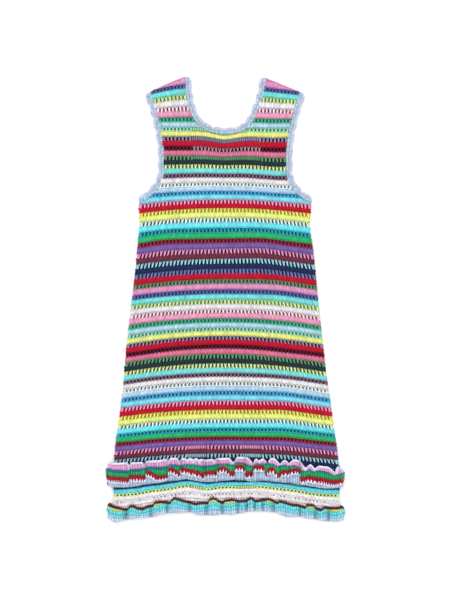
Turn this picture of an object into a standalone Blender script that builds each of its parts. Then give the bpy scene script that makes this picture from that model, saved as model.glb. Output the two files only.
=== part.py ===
"""A sleeveless crochet mini dress with a scoop neck and two ruffles, laid flat. Metres, +Z up.

The dress lies on the plane z = 0 with its neck towards +Y. A place on it is given as `across`, the
distance to the right of its middle line, and `down`, the distance below the top of the shoulders.
The rows of crochet bow a little: a row that is `level` down at the middle line is lower at the sides.
"""

import math
from typing import NamedTuple

import bmesh
import bpy

# Driving sizes
LENGTH = 0.891  # top of the shoulders to the lowest point of the hem
CLOTH = 0.0022  # wall of the crochet
RIB = 0.0008  # how far a closed row stands proud of an open one
SEAM_GAP = 0.0003  # between pieces that are sewn together or lie on each other

# The bow of the rows
SHOULDER_REACH = 0.150  # half the width that a row's bow is measured over, at the shoulders
FLARE = 0.0884  # how much that half width grows for each metre down
NECK_DIP = 0.0095  # how far the rows under the neck are pulled down at the middle line
NECK_DIP_WIDTH = 0.030
NECK_DIP_DEPTH = 0.045
NECK_LEVEL = 0.107

ARMHOLE_SHIFT = 0.0015  # how much further out the right armhole lies than the left one

# The edging round the neck and armholes
EDGING_WIDTH = 0.0115
SCALLOP_DEPTH = 0.003
SCALLOP_PITCH = 0.026
EDGING_CROWN = 0.0008  # how much thicker the edging is along its middle
EDGING_STEP = 0.0052  # between points along the edging and the cloth's edge beside it

# Heights of the layers
FRONT_BASE = CLOTH + SEAM_GAP  # underside of the front above that of the back
RUFFLE_BASE = FRONT_BASE + CLOTH + RIB + SEAM_GAP  # underside of a front ruffle above that of the back panel
LIFT = CLOTH + SEAM_GAP  # how far the panels rise where the back ruffles lie under them
LIFT_FROM = 0.735
LIFT_WHOLE = 0.753

# Sampling
SIDE_STEP = 0.018
COLUMN_STEP = 0.038
FOLD_STEPS = 3  # columns of points from a crest to the next valley
UNWARP_ROUNDS = 12


class EdgePoint(NamedTuple):
    """A point on an edge of the cloth."""

    across: float
    down: float


class Width(NamedTuple):
    """Half widths of a panel at one height."""

    down: float
    left: float
    right: float


class RowPlace(NamedTuple):
    """The level of one row of crochet, counted from the shoulder."""

    row: int
    level: float


class Bow(NamedTuple):
    """How much lower the rows at one level are at the sides."""

    level: float
    drop: float


class Fold(NamedTuple):
    """A crest or valley of a ruffle: where its top and foot edges are, and how high it stands."""

    across: float
    top: float
    foot: float
    height: float


class Section(NamedTuple):
    """A line along a ruffle, at a share of the way from its top edge to its foot."""

    share: float
    wave: float
    base: float


# Neck of both panels, from the left shoulder to the right one
NECK_EDGE = (
    EdgePoint(-0.0790, 0.0015),
    EdgePoint(-0.0785, 0.036),
    EdgePoint(-0.0745, 0.058),
    EdgePoint(-0.0690, 0.074),
    EdgePoint(-0.0610, 0.089),
    EdgePoint(-0.0490, 0.101),
    EdgePoint(-0.0355, 0.110),
    EdgePoint(-0.0200, 0.115),
    EdgePoint(0.0000, 0.1165),
    EdgePoint(0.0170, 0.115),
    EdgePoint(0.0330, 0.110),
    EdgePoint(0.0470, 0.101),
    EdgePoint(0.0565, 0.089),
    EdgePoint(0.0635, 0.074),
    EdgePoint(0.0700, 0.058),
    EdgePoint(0.0770, 0.036),
    EdgePoint(0.0820, 0.0035),
)

# Armhole of both panels, from the shoulder to the side, as on the right but for ARMHOLE_SHIFT
ARMHOLE_EDGE = (
    EdgePoint(0.1490, 0.0315),
    EdgePoint(0.1420, 0.054),
    EdgePoint(0.1365, 0.070),
    EdgePoint(0.1330, 0.087),
    EdgePoint(0.1290, 0.101),
    EdgePoint(0.1255, 0.122),
    EdgePoint(0.1222, 0.148),
    EdgePoint(0.1218, 0.172),
    EdgePoint(0.1222, 0.192),
    EdgePoint(0.1260, 0.210),
    EdgePoint(0.1380, 0.229),
    EdgePoint(0.1550, 0.244),
    EdgePoint(0.1640, 0.250),
    EdgePoint(0.1715, 0.2525),
)

# Sides of both panels, from the armhole to the hem
SIDES = (
    Width(0.2528, 0.1715, 0.1730),
    Width(0.300, 0.1715, 0.1700),
    Width(0.328, 0.1750, 0.1745),
    Width(0.368, 0.1780, 0.1800),
    Width(0.418, 0.1835, 0.1845),
    Width(0.458, 0.1890, 0.1885),
    Width(0.538, 0.1975, 0.1970),
    Width(0.604, 0.2035, 0.2045),
    Width(0.658, 0.2095, 0.2125),
    Width(0.718, 0.2175, 0.2205),
    Width(0.758, 0.2215, 0.2265),
    Width(0.828, 0.2235, 0.2300),
    Width(0.876, 0.2240, 0.2300),
)

# Rows between these are evenly spaced; the even ones are closed and the odd ones are open
ROW_PLACES = (
    RowPlace(1, 0.0176),
    RowPlace(9, 0.107),
    RowPlace(18, 0.188),
    RowPlace(26, 0.257),
    RowPlace(38, 0.379),
    RowPlace(54, 0.530),
    RowPlace(68, 0.660),
    RowPlace(80, 0.767),
    RowPlace(90, 0.841),
)

BOWS = (
    Bow(0.018, 0.016),
    Bow(0.097, 0.000),
    Bow(0.150, 0.000),
    Bow(0.257, 0.011),
    Bow(0.399, 0.013),
    Bow(0.513, 0.017),
    Bow(0.587, 0.017),
    Bow(0.714, 0.011),
    Bow(0.815, 0.014),
    Bow(0.852, 0.020),
)

# Crests and valleys of the upper ruffle along its standing heading
UPPER_FOLDS = (
    Fold(-0.2315, 0.774, 0.823, 0.002),
    Fold(-0.2155, 0.772, 0.828, 0.009),
    Fold(-0.1915, 0.780, 0.826, 0.000),
    Fold(-0.1755, 0.771, 0.822, 0.009),
    Fold(-0.1615, 0.777, 0.819, 0.000),
    Fold(-0.1355, 0.766, 0.814, 0.010),
    Fold(-0.1115, 0.773, 0.811, 0.000),
    Fold(-0.1035, 0.763, 0.810, 0.007),
    Fold(-0.0915, 0.769, 0.808, 0.000),
    Fold(-0.0815, 0.763, 0.806, 0.007),
    Fold(-0.0755, 0.768, 0.806, 0.000),
    Fold(-0.0655, 0.763, 0.808, 0.006),
    Fold(-0.0515, 0.774, 0.810, 0.000),
    Fold(-0.0375, 0.767, 0.811, 0.009),
    Fold(-0.0225, 0.772, 0.811, 0.000),
    Fold(-0.0035, 0.763, 0.808, 0.010),
    Fold(0.0165, 0.768, 0.807, 0.000),
    Fold(0.0365, 0.760, 0.807, 0.010),
    Fold(0.0560, 0.769, 0.811, 0.000),
    Fold(0.0625, 0.762, 0.810, 0.004),
    Fold(0.0685, 0.767, 0.809, 0.000),
    Fold(0.0750, 0.764, 0.808, 0.005),
    Fold(0.0865, 0.773, 0.809, 0.000),
    Fold(0.0965, 0.763, 0.810, 0.009),
    Fold(0.1125, 0.775, 0.812, 0.000),
    Fold(0.1205, 0.767, 0.813, 0.005),
    Fold(0.1270, 0.772, 0.813, 0.000),
    Fold(0.1385, 0.766, 0.815, 0.009),
    Fold(0.1605, 0.786, 0.818, 0.000),
    Fold(0.1705, 0.775, 0.820, 0.006),
    Fold(0.1795, 0.788, 0.821, 0.000),
    Fold(0.1905, 0.778, 0.823, 0.008),
    Fold(0.2165, 0.794, 0.825, 0.000),
    Fold(0.2315, 0.780, 0.820, 0.005),
)

# Crests and valleys of the hem ruffle
HEM_FOLDS = (
    Fold(-0.2355, 0.858, 0.885, 0.002),
    Fold(-0.2175, 0.863, 0.891, 0.007),
    Fold(-0.1975, 0.867, 0.887, 0.000),
    Fold(-0.1715, 0.866, 0.883, 0.006),
    Fold(-0.1465, 0.860, 0.882, 0.000),
    Fold(-0.1295, 0.852, 0.876, 0.006),
    Fold(-0.1145, 0.854, 0.874, 0.000),
    Fold(-0.0935, 0.847, 0.872, 0.007),
    Fold(-0.0695, 0.852, 0.872, 0.000),
    Fold(-0.0535, 0.854, 0.877, 0.005),
    Fold(-0.0365, 0.854, 0.878, 0.000),
    Fold(-0.0215, 0.847, 0.877, 0.006),
    Fold(-0.0045, 0.855, 0.876, 0.000),
    Fold(0.0105, 0.847, 0.876, 0.006),
    Fold(0.0265, 0.850, 0.875, 0.000),
    Fold(0.0355, 0.848, 0.873, 0.004),
    Fold(0.0445, 0.849, 0.871, 0.000),
    Fold(0.0520, 0.844, 0.870, 0.004),
    Fold(0.0600, 0.850, 0.870, 0.000),
    Fold(0.0685, 0.848, 0.870, 0.004),
    Fold(0.0765, 0.847, 0.870, 0.000),
    Fold(0.0865, 0.846, 0.870, 0.005),
    Fold(0.0975, 0.850, 0.872, 0.000),
    Fold(0.1245, 0.856, 0.880, 0.008),
    Fold(0.1505, 0.860, 0.881, 0.000),
    Fold(0.1665, 0.859, 0.884, 0.006),
    Fold(0.1815, 0.863, 0.886, 0.000),
    Fold(0.1945, 0.865, 0.889, 0.005),
    Fold(0.2065, 0.862, 0.890, 0.000),
    Fold(0.2225, 0.865, 0.890, 0.006),
    Fold(0.2355, 0.862, 0.887, 0.002),
)

# From the heading's edge, over the gathering line, to the foot
UPPER_SECTIONS = (
    Section(0.00, 1.00, RUFFLE_BASE),
    Section(0.14, 0.90, RUFFLE_BASE),
    Section(0.28, 0.40, RUFFLE_BASE),
    Section(0.42, 0.15, RUFFLE_BASE),
    Section(0.62, 0.28, RUFFLE_BASE),
    Section(0.82, 0.38, RUFFLE_BASE),
    Section(1.00, 0.45, RUFFLE_BASE),
)

# From the seam on the panel to the foot, which sinks towards the back ruffle
HEM_SECTIONS = (
    Section(0.00, 0.25, RUFFLE_BASE),
    Section(0.52, 0.60, RUFFLE_BASE),
    Section(0.78, 0.85, 0.60 * RUFFLE_BASE),
    Section(1.00, 1.00, 0.20 * RUFFLE_BASE),
)

UPPER_BULGE = 0.008  # how far the upper ruffle's ends swell out between its edges
HEM_BULGE = 0.004
BULGE_FROM = 0.200
SIDE_DROP_LEFT = 0.2250  # past the panel's side a front ruffle sinks to the back one
SIDE_DROP_RIGHT = 0.2315
SIDE_DROP_RUN = 0.0080


def remove_everything():
    """Empties the file, so that a second run gives the same dress."""
    for thing in list(bpy.data.objects):
        bpy.data.objects.remove(thing, do_unlink=True)


def between(rows, at):
    """Reads a table whose first column rises, by straight lines, as the values of its other columns."""
    if at <= rows[0][0]:
        return rows[0][1:]
    for low, high in zip(rows, rows[1:]):
        if at <= high[0]:
            share = (at - low[0]) / (high[0] - low[0])
            return tuple(a + share * (b - a) for a, b in zip(low[1:], high[1:]))
    return rows[-1][1:]


def smooth_step(share):
    """Eases from 0 to 1, level at both ends."""
    share = min(max(share, 0.0), 1.0)
    return share * share * (3.0 - 2.0 * share)


def bow(across, level):
    """How far a row is lower here than its level."""
    reach = SHOULDER_REACH + FLARE * level
    (drop,) = between(BOWS, level)
    dip = NECK_DIP * math.exp(-max(level - NECK_LEVEL, 0.0) / NECK_DIP_DEPTH)
    return drop * (across / reach) ** 2 + dip * math.exp(-((across / NECK_DIP_WIDTH) ** 2))


def level_of(across, down):
    """The level of the row that passes through a place."""
    level = down
    for _ in range(UNWARP_ROUNDS):
        level = down - bow(across, level)
    return level


def lift(down):
    """How far the panels rise over the back ruffles."""
    return LIFT * smooth_step((down - LIFT_FROM) / (LIFT_WHOLE - LIFT_FROM))


def rib(level):
    """Height of the crochet's ribs: full on an even row and none on an odd one."""
    rows = [(place.level, place.row) for place in ROW_PLACES]
    (row,) = between(rows, level)
    return RIB * abs(1.0 - row % 2.0)


def row_levels():
    """Levels of all the rows."""
    return [
        between(ROW_PLACES, row)[0]
        for row in range(ROW_PLACES[0].row, ROW_PLACES[-1].row + 1)
    ]


def smooth_curve(points, step):
    """A smooth line through the points, as places about `step` apart."""
    ends = [points[0], *points, points[-1]]
    line = []
    for before, start, end, after in zip(ends, ends[1:], ends[2:], ends[3:]):
        count = max(1, round(math.dist(start, end) / step))
        for i in range(count):
            t = i / count
            line.append(
                EdgePoint(
                    *(
                        b
                        + 0.5 * t * (c - a + t * (2 * a - 5 * b + 4 * c - d + t * (3 * b - a - 3 * c + d)))
                        for a, b, c, d in zip(before, start, end, after)
                    )
                )
            )
    return [*line, EdgePoint(*points[-1])]


def mirrored(points):
    """The same line on the other side of the middle, run the other way."""
    return [EdgePoint(-p.across, p.down) for p in reversed(points)]


def armhole_line(on_left):
    """One armhole's edge: from the shoulder to the side on the right, and back up on the left."""
    if on_left:
        return mirrored(smooth_curve(ARMHOLE_EDGE, EDGING_STEP))
    shifted = [EdgePoint(p.across + ARMHOLE_SHIFT, p.down) for p in ARMHOLE_EDGE]
    return smooth_curve(shifted, EDGING_STEP)


def side_line(on_left):
    """A panel's side from the armhole to the hem."""
    points = [EdgePoint(-w.left, w.down) if on_left else EdgePoint(w.right, w.down) for w in SIDES]
    return smooth_curve(points, SIDE_STEP)


def panel_outline():
    """A panel's edge, all the way round, starting at the left end of the neck."""
    return [
        *smooth_curve(NECK_EDGE, EDGING_STEP),
        *armhole_line(on_left=False),
        *side_line(on_left=False)[1:],
        *reversed(side_line(on_left=True)[1:]),
        *armhole_line(on_left=True),
    ]


def cut_through(sheet, place, normal):
    """Cuts a flat sheet's faces along a line."""
    bmesh.ops.bisect_plane(
        sheet,
        geom=[*sheet.verts, *sheet.edges, *sheet.faces],
        dist=1e-5,
        plane_co=place,
        plane_no=normal,
    )


def solid_sheet(name, sheet, underside, upper_side, material):
    """Gives a flat sheet its wall: each point gets a height for its underside and its upper side."""
    lower = list(sheet.verts)
    for vert in lower:
        across, down = vert.co.x, -vert.co.y
        vert.co.z = underside(across, down)
    raised = bmesh.ops.extrude_face_region(sheet, geom=sheet.faces[:])["geom"]
    for vert in (item for item in raised if isinstance(item, bmesh.types.BMVert)):
        vert.co.z = upper_side(vert.co.x, -vert.co.y)
    bmesh.ops.translate(sheet, verts=sheet.verts, vec=(0.0, LENGTH / 2.0, 0.0))
    bmesh.ops.recalc_face_normals(sheet, faces=sheet.faces)
    mesh = bpy.data.meshes.new(name)
    sheet.to_mesh(mesh)
    sheet.free()
    mesh.materials.append(material)
    piece = bpy.data.objects.new(name, mesh)
    dress.objects.link(piece)
    return piece


def make_panel(name, underside, upper_side, material):
    """The back or the front: a sheet cut along its rows, which are straight until they are bowed."""
    sheet = bmesh.new()
    outline = [
        sheet.verts.new((p.across, -level_of(p.across, p.down), 0.0)) for p in panel_outline()
    ]
    sheet.faces.new(outline)
    for level in row_levels():
        cut_through(sheet, (0.0, -level, 0.0), (0.0, 1.0, 0.0))
    columns = int(max(SIDES[-1][1:]) / COLUMN_STEP)
    for column in range(-columns, columns + 1):
        cut_through(sheet, (column * COLUMN_STEP, 0.0, 0.0), (1.0, 0.0, 0.0))
    for vert in sheet.verts:
        vert.co.y -= bow(vert.co.x, -vert.co.y)
    return solid_sheet(name, sheet, underside, upper_side, material)


def make_edging(name, edge, base, crown, material):
    """A scalloped band along an edge, on the side of the hole, which is the edge's left as seen from above."""
    count = len(edge) - 1
    run = [0.0]
    for a, b in zip(edge, edge[1:]):
        run.append(run[-1] + math.dist(a, b))
    scallops = round(run[-1] / SCALLOP_PITCH)
    band = bmesh.new()
    bmesh.ops.create_grid(band, x_segments=count, y_segments=2, size=1.0)
    middle = set()
    for vert in band.verts:
        at = round((vert.co.x + 1.0) / 2.0 * count)
        share = (vert.co.y + 1.0) / 2.0
        before, after = edge[max(at - 1, 0)], edge[min(at + 1, count)]
        length = math.dist(before, after)
        out_across = (after.down - before.down) / length
        out_down = (before.across - after.across) / length
        notch = 1.0 - abs(math.sin(math.pi * scallops * run[at] / run[-1]))
        width = SEAM_GAP + share * (EDGING_WIDTH - SCALLOP_DEPTH * notch)
        vert.co.x = edge[at].across + width * out_across
        vert.co.y = -(edge[at].down + width * out_down)
        if 0.25 < share < 0.75:
            middle.add((round(vert.co.x, 6), round(vert.co.y, 6)))

    def upper_side(across, down):
        on_middle = (round(across, 6), round(-down, 6)) in middle
        return base + CLOTH + (crown if on_middle else 0.0)

    return solid_sheet(name, band, lambda across, down: base, upper_side, material)


def fold_columns(folds):
    """The folds with eased steps between each crest and valley."""
    columns = []
    for start, end in zip(folds, folds[1:]):
        for i in range(FOLD_STEPS):
            share = i / FOLD_STEPS
            eased = smooth_step(share)
            columns.append(
                Fold(
                    start.across + share * (end.across - start.across),
                    *(a + eased * (b - a) for a, b in zip(start[1:], end[1:])),
                )
            )
    return [*columns, folds[-1]]


def side_drop(across):
    """How far a front ruffle has sunk to the back one, from 0 on the panel to 1 past its side."""
    side = SIDE_DROP_LEFT if across < 0.0 else SIDE_DROP_RIGHT
    return min(max((abs(across) - side) / SIDE_DROP_RUN, 0.0), 1.0)


def make_ruffle(name, folds, sections, bulge, is_front, material):
    """A ruffle's front, in waves on the front panel, or its back, flat under the back panel."""
    columns = fold_columns(folds)
    count = len(columns) - 1
    sheet = bmesh.new()
    bmesh.ops.create_grid(sheet, x_segments=count, y_segments=len(sections) - 1, size=1.0)
    floor_height = {}
    for vert in sheet.verts:
        fold = columns[round((vert.co.x + 1.0) / 2.0 * count)]
        section = sections[round((1.0 - vert.co.y) / 2.0 * (len(sections) - 1))]
        near_end = max(abs(fold.across) - BULGE_FROM, 0.0) / (abs(folds[-1].across) - BULGE_FROM)
        swell = bulge * near_end * math.sin(math.pi * min(1.25 * section.share, 1.0 - 0.2 * section.share))
        across = fold.across + math.copysign(swell, fold.across)
        vert.co.x = across
        vert.co.y = -(fold.top + section.share * (fold.foot - fold.top))
        if is_front:
            base = LIFT + section.base + section.wave * fold.height
            sunk = side_drop(across)
            height = base + sunk * (LIFT - base)
        else:
            height = 0.0
        floor_height[(round(vert.co.x, 6), round(vert.co.y, 6))] = height

    def underside(across, down):
        return floor_height[(round(across, 6), round(-down, 6))]

    return solid_sheet(
        name, sheet, underside, lambda across, down: underside(across, down) + CLOTH, material
    )


def make_yarn(name, colour):
    """Matte cotton yarn."""
    material = bpy.data.materials.new(name)
    material.use_nodes = True
    shader = material.node_tree.nodes["Principled BSDF"]
    shader.inputs["Base Color"].default_value = (*colour, 1.0)
    shader.inputs["Roughness"].default_value = 0.85
    shader.inputs["Metallic"].default_value = 0.0
    return material


def make_panels():
    """The back, which lies on the floor, and the front on it, with its rows as ribs."""
    yarn = make_yarn("striped_body_yarn", (0.45, 0.42, 0.50))
    make_panel(
        "back_panel",
        lambda across, down: lift(down),
        lambda across, down: lift(down) + CLOTH,
        yarn,
    )
    make_panel(
        "front_panel",
        lambda across, down: lift(down) + FRONT_BASE,
        lambda across, down: lift(down) + FRONT_BASE + CLOTH + rib(level_of(across, down)),
        yarn,
    )


def make_edgings():
    """The neck's and armholes' edging, in a front and a back layer each."""
    yarn = make_yarn("pale_edging_yarn", (0.45, 0.58, 0.79))
    neck = smooth_curve(NECK_EDGE, EDGING_STEP)
    for layer, base, crown in (("back", 0.0, 0.0), ("front", FRONT_BASE, EDGING_CROWN)):
        make_edging(f"neck_edging_{layer}", neck, base, crown, yarn)
        make_edging(f"armhole_edging_{layer}_right", armhole_line(on_left=False), base, crown, yarn)
        make_edging(f"armhole_edging_{layer}_left", armhole_line(on_left=True), base, crown, yarn)


def make_ruffles():
    """The gathered upper ruffle and the hem ruffle, in a front and a back each."""
    yarn = make_yarn("ruffle_yarn", (0.45, 0.60, 0.75))
    for layer, is_front in (("back", False), ("front", True)):
        make_ruffle(f"upper_ruffle_{layer}", UPPER_FOLDS, UPPER_SECTIONS, UPPER_BULGE, is_front, yarn)
        make_ruffle(f"hem_ruffle_{layer}", HEM_FOLDS, HEM_SECTIONS, HEM_BULGE, is_front, yarn)


remove_everything()
dress = bpy.data.collections.new("crochet_dress")
bpy.context.scene.collection.children.link(dress)
make_panels()
make_edgings()
make_ruffles()
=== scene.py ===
"""The looks of a sleeveless crochet mini dress, laid flat: yarn, stitches, edgings and ruffles.

The dress lies on the plane z = 0 with its neck towards +Y. A place on it is given as `across`, the
distance to the right of its middle line, and either `down`, the distance below the top of the
shoulders, or `level`, which is `down` at the middle line of the row of crochet that passes there.
Lengths are in metres, apart from the tables that say that they are in tenths of a millimetre.
Each piece of cloth is a thin sheet with its stitches on it, as short plump strands of yarn.
"""

from __future__ import annotations

import logging
import math
from bisect import bisect_left
from collections.abc import Callable, Sequence
from dataclasses import dataclass, field
from enum import Enum
from typing import Any, NamedTuple, Protocol

import bmesh
import bpy
import numpy as np
from bmesh.types import BMesh, BMFace, BMVert
from bpy.types import Material, Mesh, Node, NodeSocket, NodeTree, Object
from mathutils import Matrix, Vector
from numpy import ndarray as Array

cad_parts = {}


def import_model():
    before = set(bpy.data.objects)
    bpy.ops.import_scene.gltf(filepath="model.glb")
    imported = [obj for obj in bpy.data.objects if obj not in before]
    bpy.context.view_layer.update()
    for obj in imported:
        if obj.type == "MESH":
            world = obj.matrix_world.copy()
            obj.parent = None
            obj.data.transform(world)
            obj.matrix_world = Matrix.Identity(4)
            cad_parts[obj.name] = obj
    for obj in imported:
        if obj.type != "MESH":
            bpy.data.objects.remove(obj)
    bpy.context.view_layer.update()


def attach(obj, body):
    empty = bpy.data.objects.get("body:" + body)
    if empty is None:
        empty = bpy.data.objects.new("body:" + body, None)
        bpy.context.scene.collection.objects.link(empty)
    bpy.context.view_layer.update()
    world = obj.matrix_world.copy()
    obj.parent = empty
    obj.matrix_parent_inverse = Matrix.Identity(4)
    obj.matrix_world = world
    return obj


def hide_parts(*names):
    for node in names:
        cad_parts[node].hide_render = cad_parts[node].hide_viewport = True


LOG = logging.getLogger("crochet_dress")
BODY = "root"
SEED = 7

# Sizes that the solids have too
LENGTH = 0.891  # top of the shoulders to the lowest point of the hem
CLOTH = 0.0022  # wall of the crochet
RIB = 0.0008  # how far a closed row stands proud of an open one
SEAM_GAP = 0.0003  # between pieces that are sewn together or lie on each other
FRONT_BASE = CLOTH + SEAM_GAP  # underside of the front above that of the back
RUFFLE_BASE = FRONT_BASE + CLOTH + RIB + SEAM_GAP  # underside of a front ruffle above the back panel's
LIFT = CLOTH + SEAM_GAP  # how far the panels rise where the back ruffles lie under them

PITCH = 0.0073  # between the posts of an open row; a closed row has two stitches to each
OUTLINE_STEP = 0.0052  # between points along the edge of the cloth


class Yarn(Enum):
    """The dyed cottons of the dress, by the colour that each shows in daylight."""

    PINK = "#d08ab3"
    INDIGO = "#5a69a9"
    CYAN = "#63d4de"
    LIME = "#d0e9a1"
    WHITE = "#d8d6da"
    BLUSH = "#fbdae6"
    ROSE_PINK = "#d892af"
    LEAF = "#50ae8b"
    PALE_BLUE = "#a1c8d9"
    AQUA = "#a3ddb4"
    YELLOW = "#d9db7d"
    LILAC_GREY = "#9386a6"
    RED = "#b20829"
    BLACK_MAROON = "#621131"
    ROSE = "#cb6c8a"
    MOSS = "#5ea072"
    INK = "#1f2d33"
    LEMON = "#d8eda5"
    TURQUOISE = "#72ccce"
    PLUM_BROWN = "#8a617a"
    CREAM = "#e4eeea"
    PERIWINKLE = "#a7c5e0"
    BLUE = "#4aaad5"
    FLAMINGO = "#f298bc"
    GOLD = "#fbe676"
    LIME_YELLOW = "#d5e27a"
    TEAL_BLUE = "#28a5b5"
    EMERALD = "#27a864"
    DARK_RED = "#952c44"
    PURPLE = "#6f579d"
    ORCHID = "#e396c4"
    BURGUNDY = "#67283d"
    PALE_AQUA = "#9cd2e0"
    NAVY = "#19264b"
    ROYAL = "#707bb6"
    OLIVE = "#739675"
    ROSY_WHITE = "#e8e2e5"
    SNOW = "#e2e4f2"
    HEADING = "#e4def4"
    FROST = "#aec4df"
    DEEP_BLUE = "#2c86be"
    MARINE = "#1f4a8c"
    PALE_LIME = "#d6ea9c"
    CRIMSON = "#ad1a32"
    CANDY = "#eea4d2"
    LAGOON = "#70e6e4"
    ICE = "#c0d6ec"
    SKY = "#79cbdc"
    SEA = "#6cd0cc"
    # Not a dyed cotton: the dark colour drawn in the mouths of pressed folds, as painted shade
    PLUM = "#5a2a58"
    BROWN = "#5c232c"
    MAUVE = "#a98a9c"
    MIST = "#82dcf2"
    EDGE = "#c4cce1"
    EDGE_GREY = "#b1c4d8"


def table(kind: Callable[..., Any], *rows: Sequence[Any]) -> tuple[Any, ...]:
    """Makes an item of one kind from each row of values."""
    return tuple(kind(*row) for row in rows)


def tenths(kind: Callable[..., Any], *rows: Sequence[int]) -> tuple[Any, ...]:
    """Makes an item of one kind from each row of lengths in tenths of a millimetre."""
    return tuple(kind(*(value / 10000.0 for value in row)) for row in rows)


class Stripe(NamedTuple):
    """One row of the stripe pattern."""

    yarn: Yarn
    behind: str  # what shows through an open row: the back's inner face, painted dark as the deep shade there
    gap: float = 0.50  # width of a gap, as a share of the pitch
    kept: float = 1.0  # share of its gaps that are big enough to show
    has_sill: bool = False  # whether its own lower loops close the foot of each gap


# The repeat of the stripes from the shoulder; the even rows are closed and the odd ones are open
STRIPES = table(
    Stripe,
    (Yarn.PINK, "#a0406a"), (Yarn.INDIGO, "#293070", 0.35, 1.0, True), (Yarn.SEA, "#2a7f8c"),
    (Yarn.LIME, "#709332", 0.38), (Yarn.WHITE, "#77727c"), (Yarn.BLUSH, "#913e60", 0.38),
    (Yarn.ROSE_PINK, "#8a3358"), (Yarn.LEAF, "#137553", 0.4, 1.0, True), (Yarn.PALE_BLUE, "#3f6f80"),
    (Yarn.AQUA, "#2a8079", 0.38, 1.0, True), (Yarn.YELLOW, "#8a8430"), (Yarn.LILAC_GREY, "#191032", 0.46),
    (Yarn.RED, "#6a0a1c"), (Yarn.BLACK_MAROON, "#2b020a", 0.5), (Yarn.ROSE, "#8a2d50"),
    (Yarn.MOSS, "#023411", 0.48), (Yarn.INK, "#0c1420"), (Yarn.LEMON, "#485d1b", 0.42),
    (Yarn.TURQUOISE, "#1f7a7a"), (Yarn.PLUM_BROWN, "#31172a", 0.46), (Yarn.WHITE, "#807a80"),
    (Yarn.CREAM, "#4a666a", 0.3, 1.0, True), (Yarn.PERIWINKLE, "#4c6690"),
    (Yarn.BLUE, "#08609b", 0.42, 1.0, True), (Yarn.SKY, "#1f7f92"), (Yarn.FLAMINGO, "#96103f", 0.46),
    (Yarn.RED, "#6c0a18"), (Yarn.GOLD, "#a5a30a", 0.42), (Yarn.LIME_YELLOW, "#7f8a24"),
    (Yarn.CREAM, "#366f69", 0.42), (Yarn.CYAN, "#1f7f8a"), (Yarn.TEAL_BLUE, "#05575f", 0.44, 1.0, True),
    (Yarn.EMERALD, "#0a5c34"), (Yarn.DARK_RED, "#400415", 0.44, 1.0, True), (Yarn.PURPLE, "#2c2258"),
    (Yarn.ORCHID, "#5a062b", 0.46), (Yarn.BURGUNDY, "#2f0a14"), (Yarn.PALE_AQUA, "#022538", 0.5),
    (Yarn.NAVY, "#0a0e20"), (Yarn.ROYAL, "#1d2358", 0.42), (Yarn.RED, "#6c0a18"),
    (Yarn.OLIVE, "#1d522c", 0.46),
)
WHITE_FROM = 88  # the rows from here to the hem are all white
LAST_OPEN_ROW = 89
LAST_ROW = 94

# Rows near the hem that differ from the repeat; the gaps of two of them are no more than dots
HEM_ROWS = {
    85: Stripe(Yarn.MARINE, "#0e2450", 0.50, 0.0),
    86: Stripe(Yarn.CYAN, "#1f7f8a"),
    87: Stripe(Yarn.PALE_LIME, "#2c400c", 0.37),
    89: Stripe(Yarn.ROSY_WHITE, "#4a3c46", 0.27, 0.5),
}
DOTTED_ROWS = (87, 89)
TOOTHED_ROW = 86  # its loops reach up between the posts of the row above
PATCH_EASE = 0.015  # the length over which the gaps of a row narrow towards a patch


class Patch(NamedTuple):
    """A stretch of a row that is worked otherwise than the rest of it."""

    row: int
    start: float
    end: float
    is_closed: bool
    yarn: Yarn | None = None


PATCHES = table(
    Patch,
    (9, -0.06, 0.045, True), (11, -0.061, 0.064, True), (13, -0.0635, 0.0705, False, Yarn.MAUVE),
    (15, -0.061, 0.064, True), (77, -0.07, -0.044, True), (77, 0.038, 0.066, True),
    (79, -0.07, -0.044, True), (79, 0.038, 0.066, True), (87, -0.0615, -0.0415, True),
    (87, 0.0305, 0.0565, True),
)


class RowPlace(NamedTuple):
    """The level of the middle of one row, counted from the shoulder."""

    row: int
    level: float


# Rows between these are evenly spaced
ROW_PLACES = table(
    RowPlace,
    (-1, -0.006), (0, 0.01), (1, 0.018), (2, 0.029), (4, 0.0532), (8, 0.0976), (10, 0.115), (14, 0.1543),
    (18, 0.1885), (20, 0.2076), (24, 0.2411), (28, 0.2768), (34, 0.3399), (38, 0.3802), (46, 0.4614),
    (48, 0.4783), (50, 0.498), (54, 0.5313), (60, 0.5883), (64, 0.6242), (68, 0.6622), (72, 0.699),
    (80, 0.767), (84, 0.802), (85, 0.8102), (86, 0.816), (87, 0.8222), (88, 0.829), (90, 0.841),
    (94, 0.868), (96, 0.882),
)


class Bow(NamedTuple):
    """How much lower the rows at one level are at the sides."""

    level: float
    drop: float


BOWS = tenths(
    Bow,
    (180, 160), (970, 0), (1500, 0), (2570, 110), (3990, 130), (5130, 170), (5870, 170), (7140, 110),
    (8150, 140), (8520, 200),
)


class Dip(NamedTuple):
    """A place where the rows have settled lower, or higher where `drop` is below nought."""

    across: float
    level: float
    drop: float
    width: float
    depth: float


DIPS = tenths(
    Dip,
    (950, 850, 16, 500, 500), (1060, 1780, 42, 550, 600), (-1220, 3240, -28, 450, 350),
    (750, 3480, -32, 450, 550), (1100, 4320, -20, 450, 400), (-1700, 4640, -24, 600, 300),
    (-1700, 5440, 12, 500, 200), (1300, 5440, 22, 700, 220), (1200, 6780, -34, 500, 650),
    (-1900, 7000, 12, 400, 600), (-1850, 8220, 35, 350, 300), (-780, 8220, -42, 250, 300),
    (-340, 8220, 36, 180, 300), (700, 8220, -25, 300, 300), (1850, 8220, 38, 400, 300),
)


class EdgePoint(NamedTuple):
    """A point on an edge of the cloth, or on a line between two colours."""

    across: float
    down: float


class Width(NamedTuple):
    """Half widths of a panel at one height."""

    down: float
    left: float
    right: float


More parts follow.
